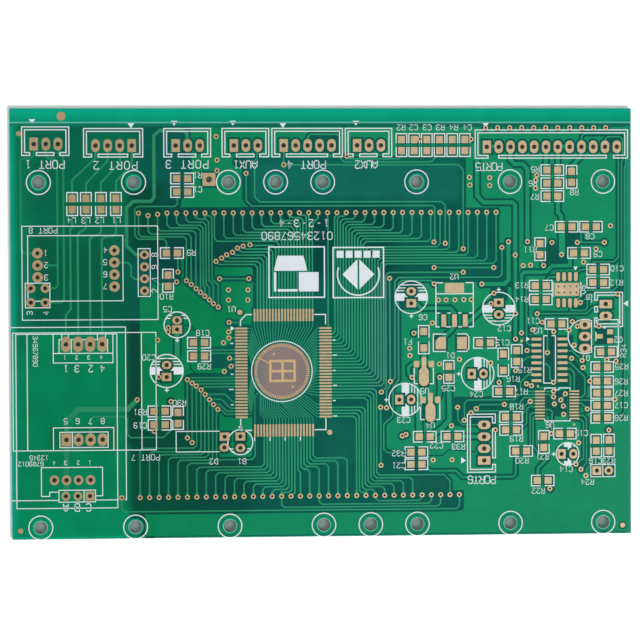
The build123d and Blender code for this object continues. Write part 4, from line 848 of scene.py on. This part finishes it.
@dataclass
class Lettering:
    """All the lettering on the board: plain sequences of numbers and part letters."""

    title_pen: float = 0.21
    mark_pen: float = 0.155
    fine_pen: float = 0.14
    titles: tuple[Label, ...] = (
        Label("PORT 1", 7.4, 79.2, 1.65), Label("PORT 2", 22.2, 79.0, 1.65, pitch=0.98),
        Label("PORT 3", 37.3, 79.2, 1.65, pitch=0.95), Label("AUX1", 49.6, 79.1, 1.65, pitch=0.8),
        Label("PORT 4", 62.6, 79.1, 1.65, pitch=0.85), Label("AUX2", 75.3, 79.1, 1.65, pitch=0.74),
        Label("PORT5", 101.5, 78.6, 1.65, pitch=0.7), Label("PORT6", 99.8, 11.8, 1.65, pitch=0.74),
        Label("01234567890", 60.5, 64.0, 1.6, pitch=0.87), Label("1-2-3-4", 62.0, 66.7, 1.5, pitch=1.05),
        Label("1", 11.5, 36.1, 1.4), Label("2 3", 15.3, 36.1, 1.4, pitch=1.05),
        Label("4", 19.2, 36.1, 1.4), Label("A", 11.3, 6.7, 1.6), Label("B", 13.7, 6.7, 1.6),
        Label("C", 16.1, 6.7, 1.6),
    )
    pin_numbers: tuple[tuple[float, float, float], ...] = (
        (7.4, 60.5, 180), (7.5, 58.0, 180), (7.5, 55.4, 180), (20.0, 61.1, 180), (19.9, 58.6, 180),
        (19.9, 56.0, 180), (19.9, 53.5, 180), (30.3, 60.1, 90), (30.3, 57.5, 90), (30.3, 55.1, 90),
        (30.3, 52.5, 90), (4.0, 47.9, 90), (7.4, 47.9, 90), (11.4, 25.0, 180), (13.9, 25.0, 180),
        (16.6, 25.0, 180), (19.2, 25.0, 180),
    )
    # Part letter, then the places that take the next numbers of that letter.
    parts: tuple[tuple[str, tuple[Point, ...]], ...] = (
        ("R", ((39.5, 76.9), (82.7, 86.95), (91.1, 86.95), (93.95, 86.95), (111.4, 78.0),
               (110.9, 75.0), (111.3, 72.2), (119.8, 73.1), (38.1, 60.5), (32.8, 51.25),
               (110.3, 60.9), (128.9, 53.8), (108.5, 53.3), (108.5, 50.3), (109.1, 35.2),
               (106.6, 33.3), (108.3, 30.6), (107.3, 27.4), (107.3, 20.5), (108.5, 15.8),
               (112.9, 16.6), (112.0, 9.3), (127.2, 15.6), (122.6, 11.1), (130.0, 35.8),
               (129.9, 32.6), (129.9, 30.1), (129.9, 24.8), (40.7, 36.4), (35.4, 28.7),
               (27.1, 26.8), (82.0, 17.6), (94.8, 18.9))),
        ("C", ((39.5, 73.9), (85.4, 86.95), (88.3, 86.95), (96.9, 86.95), (33.0, 48.6),
               (87.3, 46.6), (114.4, 65.6), (123.2, 63.7), (124.9, 59.9), (129.0, 56.8),
               (110.9, 45.7), (104.7, 44.1), (104.4, 41.1), (118.0, 13.9), (121.3, 21.6),
               (124.3, 15.6), (129.9, 27.5), (40.4, 43.5), (27.1, 24.0), (29.0, 38.4),
               (82.0, 15.0), (90.1, 19.2), (83.1, 24.7), (98.7, 30.1), (92.7, 31.4))),
        ("U", ((46.5, 48.5), (94.0, 55.2), (111.9, 43.6), (88.8, 23.5), (87.6, 30.9),
               (114.5, 23.4))),
        ("L", ((22.3, 67.4), (18.8, 67.4), (15.9, 67.4), (12.9, 67.4))),
        ("D", ((93.1, 38.4), (42.6, 16.2))),
        ("Q", ((122.2, 37.7), (129.3, 41.6))),
        ("F", ((84.0, 41.4),)),
        ("B", ((48.6, 16.2),)),
    )
    stood: tuple[tuple[str, float, float], ...] = (("U9", 121.6, 52.3), ("J9", 123.0, 50.4),
                                                  ("R34", 130.4, 39.2))
    tiny: float = 0.8
    tiny_rows: tuple[tuple[float, tuple[tuple[str, float], ...]], ...] = (
        (38.45, (("1", 11.3), ("2", 13.8), ("3", 16.3), ("4", 19.0))),
        (16.2, (("4", 8.9), ("3", 11.3), ("2", 14.0), ("1", 16.4))),
    )
    fine: tuple[Label, ...] = (
        Label("12345", 5.7, 17.3, 0.95), Label("6789012", 4.0, 16.0, 0.9),
        Label("34567890", 5.1, 39.8, 0.95, turn=-90),
        Label("PORT 7", 28.2, 17.2, 1.2), Label("PORT 8", 6.9, 65.3, 1.15, pitch=0.9),
    )

    def build(self, pen: PenTree, ink: bpy.types.Material) -> None:
        """Draws the titles, the part marks and the fine lines.

        Args:
            pen: the tree that draws strokes.
            ink: the finish.
        """
        marks = []
        for letter, places in self.parts:
            marks += [Label(f"{letter}{i + 1}", x, y) for i, (x, y) in enumerate(places)]
        marks += [Label(text, x, y, turn=90) for text, x, y in self.stood]
        counts = [Label(str(i % 9 + 1), x, y, turn=turn)
                  for i, (x, y, turn) in enumerate(self.pin_numbers)]
        small = [Label(text, x, y, self.tiny) for y, row in self.tiny_rows for text, x in row]
        sets = (("lettering_titles", self.titles, self.title_pen),
                ("lettering_part_marks", marks + counts, self.mark_pen),
                ("lettering_fine", list(self.fine) + small, self.fine_pen))
        for name, labels, width in sets:
            runs = [run for label in labels for run in label.strokes()]
            keep(pen.draw(name, runs, width, ink))


# ------------------------------------------------------------------ filled emblems


@dataclass
class Emblems:
    """Two printed frames, each filled with a plain geometric figure."""

    line: float = 0.28
    left: tuple[float, float, float, float] = (54.5, 50.95, 66.3, 61.65)
    right: tuple[float, float, float, float] = (68.15, 50.85, 78.9, 61.5)

    def frame_bars(self, box: tuple[float, float, float, float]) -> list[list[Point]]:
        """Four mitred bars round a box.

        Args:
            box: left, bottom, right and top of the frame's centre line.

        Returns:
            Four outlines.
        """
        x0, y0, x1, y1 = box
        h = self.line / 2
        outer = [(x0 - h, y0 - h), (x1 + h, y0 - h), (x1 + h, y1 + h), (x0 - h, y1 + h)]
        inner = [(x0 + h, y0 + h), (x1 - h, y0 + h), (x1 - h, y1 - h), (x0 + h, y1 - h)]
        return [[outer[i], outer[(i + 1) % 4], inner[(i + 1) % 4], inner[i]] for i in range(4)]

    def window_slabs(self) -> list[list[Point]]:
        """A window of two solid slabs, above and right, and two thin bars, left and below."""
        x0, y0, x1, y1 = self.left
        left, right, low, high = x0 + 1.05, x1 - 1.25, y0 + 1.25, y1 - 1.85
        bar, post, lintel, gap, lean = 0.5, 4.2, 3.2, 0.3, 0.8
        sill = high - lintel - gap
        lintel_end = right - 2.4
        return [
            [(left, high - lintel), (lintel_end, high - lintel), (lintel_end - lean, high),
             (left + lean, high)],
            [(right - post, low), (right, low), (right, sill), (right - post, sill)],
            [(left, low), (left + bar, low), (left + bar, sill), (left, sill)],
            [(left + bar + gap, low), (right - post - gap, low), (right - post - gap, low + bar),
             (left + bar + gap, low + bar)],
        ]

    def ringed_diamond(self) -> list[list[Point]]:
        """A row of square blocks over a solid diamond that is cut across, in an open ring."""
        x0, y0, x1, y1 = self.right
        blocks = []
        count, side, gap, inset, drop = 5, 1.5, 0.42, 0.75, 0.7
        top = y1 - drop
        for i in range(count):
            left = x0 + inset + i * (side + gap)
            blocks.append([(left, top - side), (left + side, top - side), (left + side, top), (left, top)])
        r, slit, rise = 3.4, 0.2, 4.95
        cx, cy = (x0 + x1) / 2, y0 + rise
        blocks.append([(cx - slit, cy + r - slit), (cx - slit, cy - r + slit), (cx - r, cy)])
        blocks.append([(cx + slit, cy - r + slit), (cx + slit, cy + r - slit), (cx + r, cy)])
        ring, band, opening, facets = 4.6, 0.3, math.radians(142), 44
        turns = [math.pi / 2 + opening / 2 + i * (math.tau - opening) / facets for i in range(facets + 1)]
        outer = [(cx + ring * math.cos(a), cy + ring * math.sin(a)) for a in turns]
        inner = [(cx + (ring - band) * math.cos(a), cy + (ring - band) * math.sin(a)) for a in turns]
        blocks += [[outer[i], outer[i + 1], inner[i + 1], inner[i]] for i in range(facets)]
        return blocks

    def build(self, ink: bpy.types.Material) -> None:
        """Makes both emblems.

        Args:
            ink: the finish.
        """
        for name, outlines in (("emblem_left", self.frame_bars(self.left) + self.window_slabs()),
                               ("emblem_right", self.frame_bars(self.right) + self.ringed_diamond())):
            keep(printed(name, outlines, ink))


def printed(name: str, outlines: list[list[Point]], ink: bpy.types.Material) -> bpy.types.Object:
    """Flat ink shapes of the legend's thickness.

    Args:
        name: the piece's name.
        outlines: closed outlines in the plan.
        ink: the finish.

    Returns:
        The piece.
    """
    work = bmesh.new()
    for outline in outlines:
        foot = [work.verts.new(PLAN.spot(x, y, FACE_Z)) for x, y in outline]
        face = work.faces.new(foot)
        top = bmesh.ops.extrude_face_region(work, geom=[face])["geom"]
        lifted = [v for v in top if isinstance(v, bmesh.types.BMVert)]
        bmesh.ops.translate(work, verts=lifted, vec=(0, 0, INK_T))
    bmesh.ops.recalc_face_normals(work, faces=work.faces)
    mesh = bpy.data.meshes.new(name)
    work.to_mesh(mesh)
    work.free()
    mesh.materials.append(ink)
    piece = bpy.data.objects.new(name, mesh)
    bpy.context.scene.collection.objects.link(piece)
    return piece


# ------------------------------------------------------------------ studio


@dataclass(frozen=True)
class Lamp:
    """A square soft lamp: its place and side in metres, and its power in watts."""

    name: str
    place: tuple[float, float, float]
    size: float
    power: float


@dataclass
class Studio:
    """Pale table, soft light and a camera that looks straight down from half a metre."""

    camera_place: tuple[float, float, float] = (-0.03041, 0.01375, 0.50104)
    camera_turn: tuple[float, float, float] = (-1.491, -3.412, -0.22)
    lens: float = 132.5
    clip: tuple[float, float] = (0.01, 20.0)
    table_half: float = 3.0
    table_colour: str = "#FCFCFC"
    table_fleck: Patches = Patches("#F8F8F8", 6.0, 0.3, 0.8, 0.5)
    table_glow: float = 0.3
    table_gap: float = 0.0001
    sky_colour: str = "#F2F5F6"
    sky_strength: float = 0.57
    lamps: tuple[Lamp, ...] = (
        Lamp("key_light", (0.42, -0.42, 0.95), 0.5, 5.84),
        Lamp("fill_light", (-0.5, 0.25, 0.9), 0.6, 2.15),
    )
    # Under the board the table lies in shade, and a narrow rim of it shows at the left and the top.
    shade: Zone = Zone(0.5, 0.5, 131.5, 90.5, 0.5, "#93A1A0")
    rim: Zone = Zone(-0.55, 0.2, 131.8, 91.75, 0.2, "#EDF1EF")

    def table(self) -> None:
        """A pale matte table under the board."""
        paint = Painter("pale_matte_table")
        colour = paint.patch(self.table_colour, self.table_fleck)
        colour = paint.zones(colour, (self.rim, self.shade))
        ray = add_node(paint.tree, "ShaderNodeLightPath").outputs
        seen = paint.math("MAXIMUM", ray["Is Camera Ray"],
                          paint.math("MAXIMUM", ray["Is Glossy Ray"], ray["Is Transmission Ray"]))
        clear = paint.math("SUBTRACT", 1.0, paint.inside(self.rim))
        seen = paint.math("MULTIPLY", seen, clear)
        material = paint.finish(colour, None, TABLE_SHADER,
                                leak=paint.math("MULTIPLY", seen, self.table_glow))
        half = self.table_half
        corners = [(-half, -half), (half, -half), (half, half), (-half, half)]
        mesh = bpy.data.meshes.new("table")
        mesh.from_pydata([(x, y, CAD_BOX[0].z - self.table_gap) for x, y in corners], [], [(0, 1, 2, 3)])
        mesh.materials.append(material)
        piece = bpy.data.objects.new("table", mesh)
        bpy.context.scene.collection.objects.link(piece)

    def light(self, lamp: Lamp) -> None:
        """Hangs a lamp and aims it at the board.

        Args:
            lamp: the lamp.
        """
        data = bpy.data.lights.new(lamp.name, "AREA")
        data.shape, data.size, data.energy = "SQUARE", lamp.size, lamp.power
        hung = bpy.data.objects.new(lamp.name, data)
        hung.location = lamp.place
        hung.rotation_euler = (-Vector(lamp.place)).to_track_quat("-Z", "Y").to_euler()
        bpy.context.scene.collection.objects.link(hung)

    def sky(self) -> None:
        """An even grey surround."""
        world = bpy.data.worlds.new("studio")
        world.use_nodes = True
        bpy.context.scene.world = world
        back = world.node_tree.nodes["Background"]
        back.inputs["Color"].default_value = linear(self.sky_colour)
        back.inputs["Strength"].default_value = self.sky_strength

    def camera(self) -> None:
        """The camera."""
        data = bpy.data.cameras.new("camera")
        data.lens = self.lens
        data.clip_start, data.clip_end = self.clip
        camera = bpy.data.objects.new("camera", data)
        camera.location = self.camera_place
        camera.rotation_euler = Euler([math.radians(a) for a in self.camera_turn])
        bpy.context.scene.collection.objects.link(camera)
        bpy.context.scene.camera = camera

    def build(self) -> None:
        """Sets the whole studio."""
        self.table()
        self.sky()
        for lamp in self.lamps:
            self.light(lamp)
        self.camera()
        bpy.context.scene.view_settings.view_transform = "Standard"


def main() -> None:
    """Builds the board's finish, its print and the studio, in that order."""
    logging.basicConfig(level=logging.INFO, format="%(name)s: %(message)s")
    finishes = BoardFinishes()
    finishes.dress_all()
    Lettering().build(PenTree(), finishes.ink)
    Emblems().build(finishes.ink)
    Studio().build()


if __name__ == "__main__":
    main()
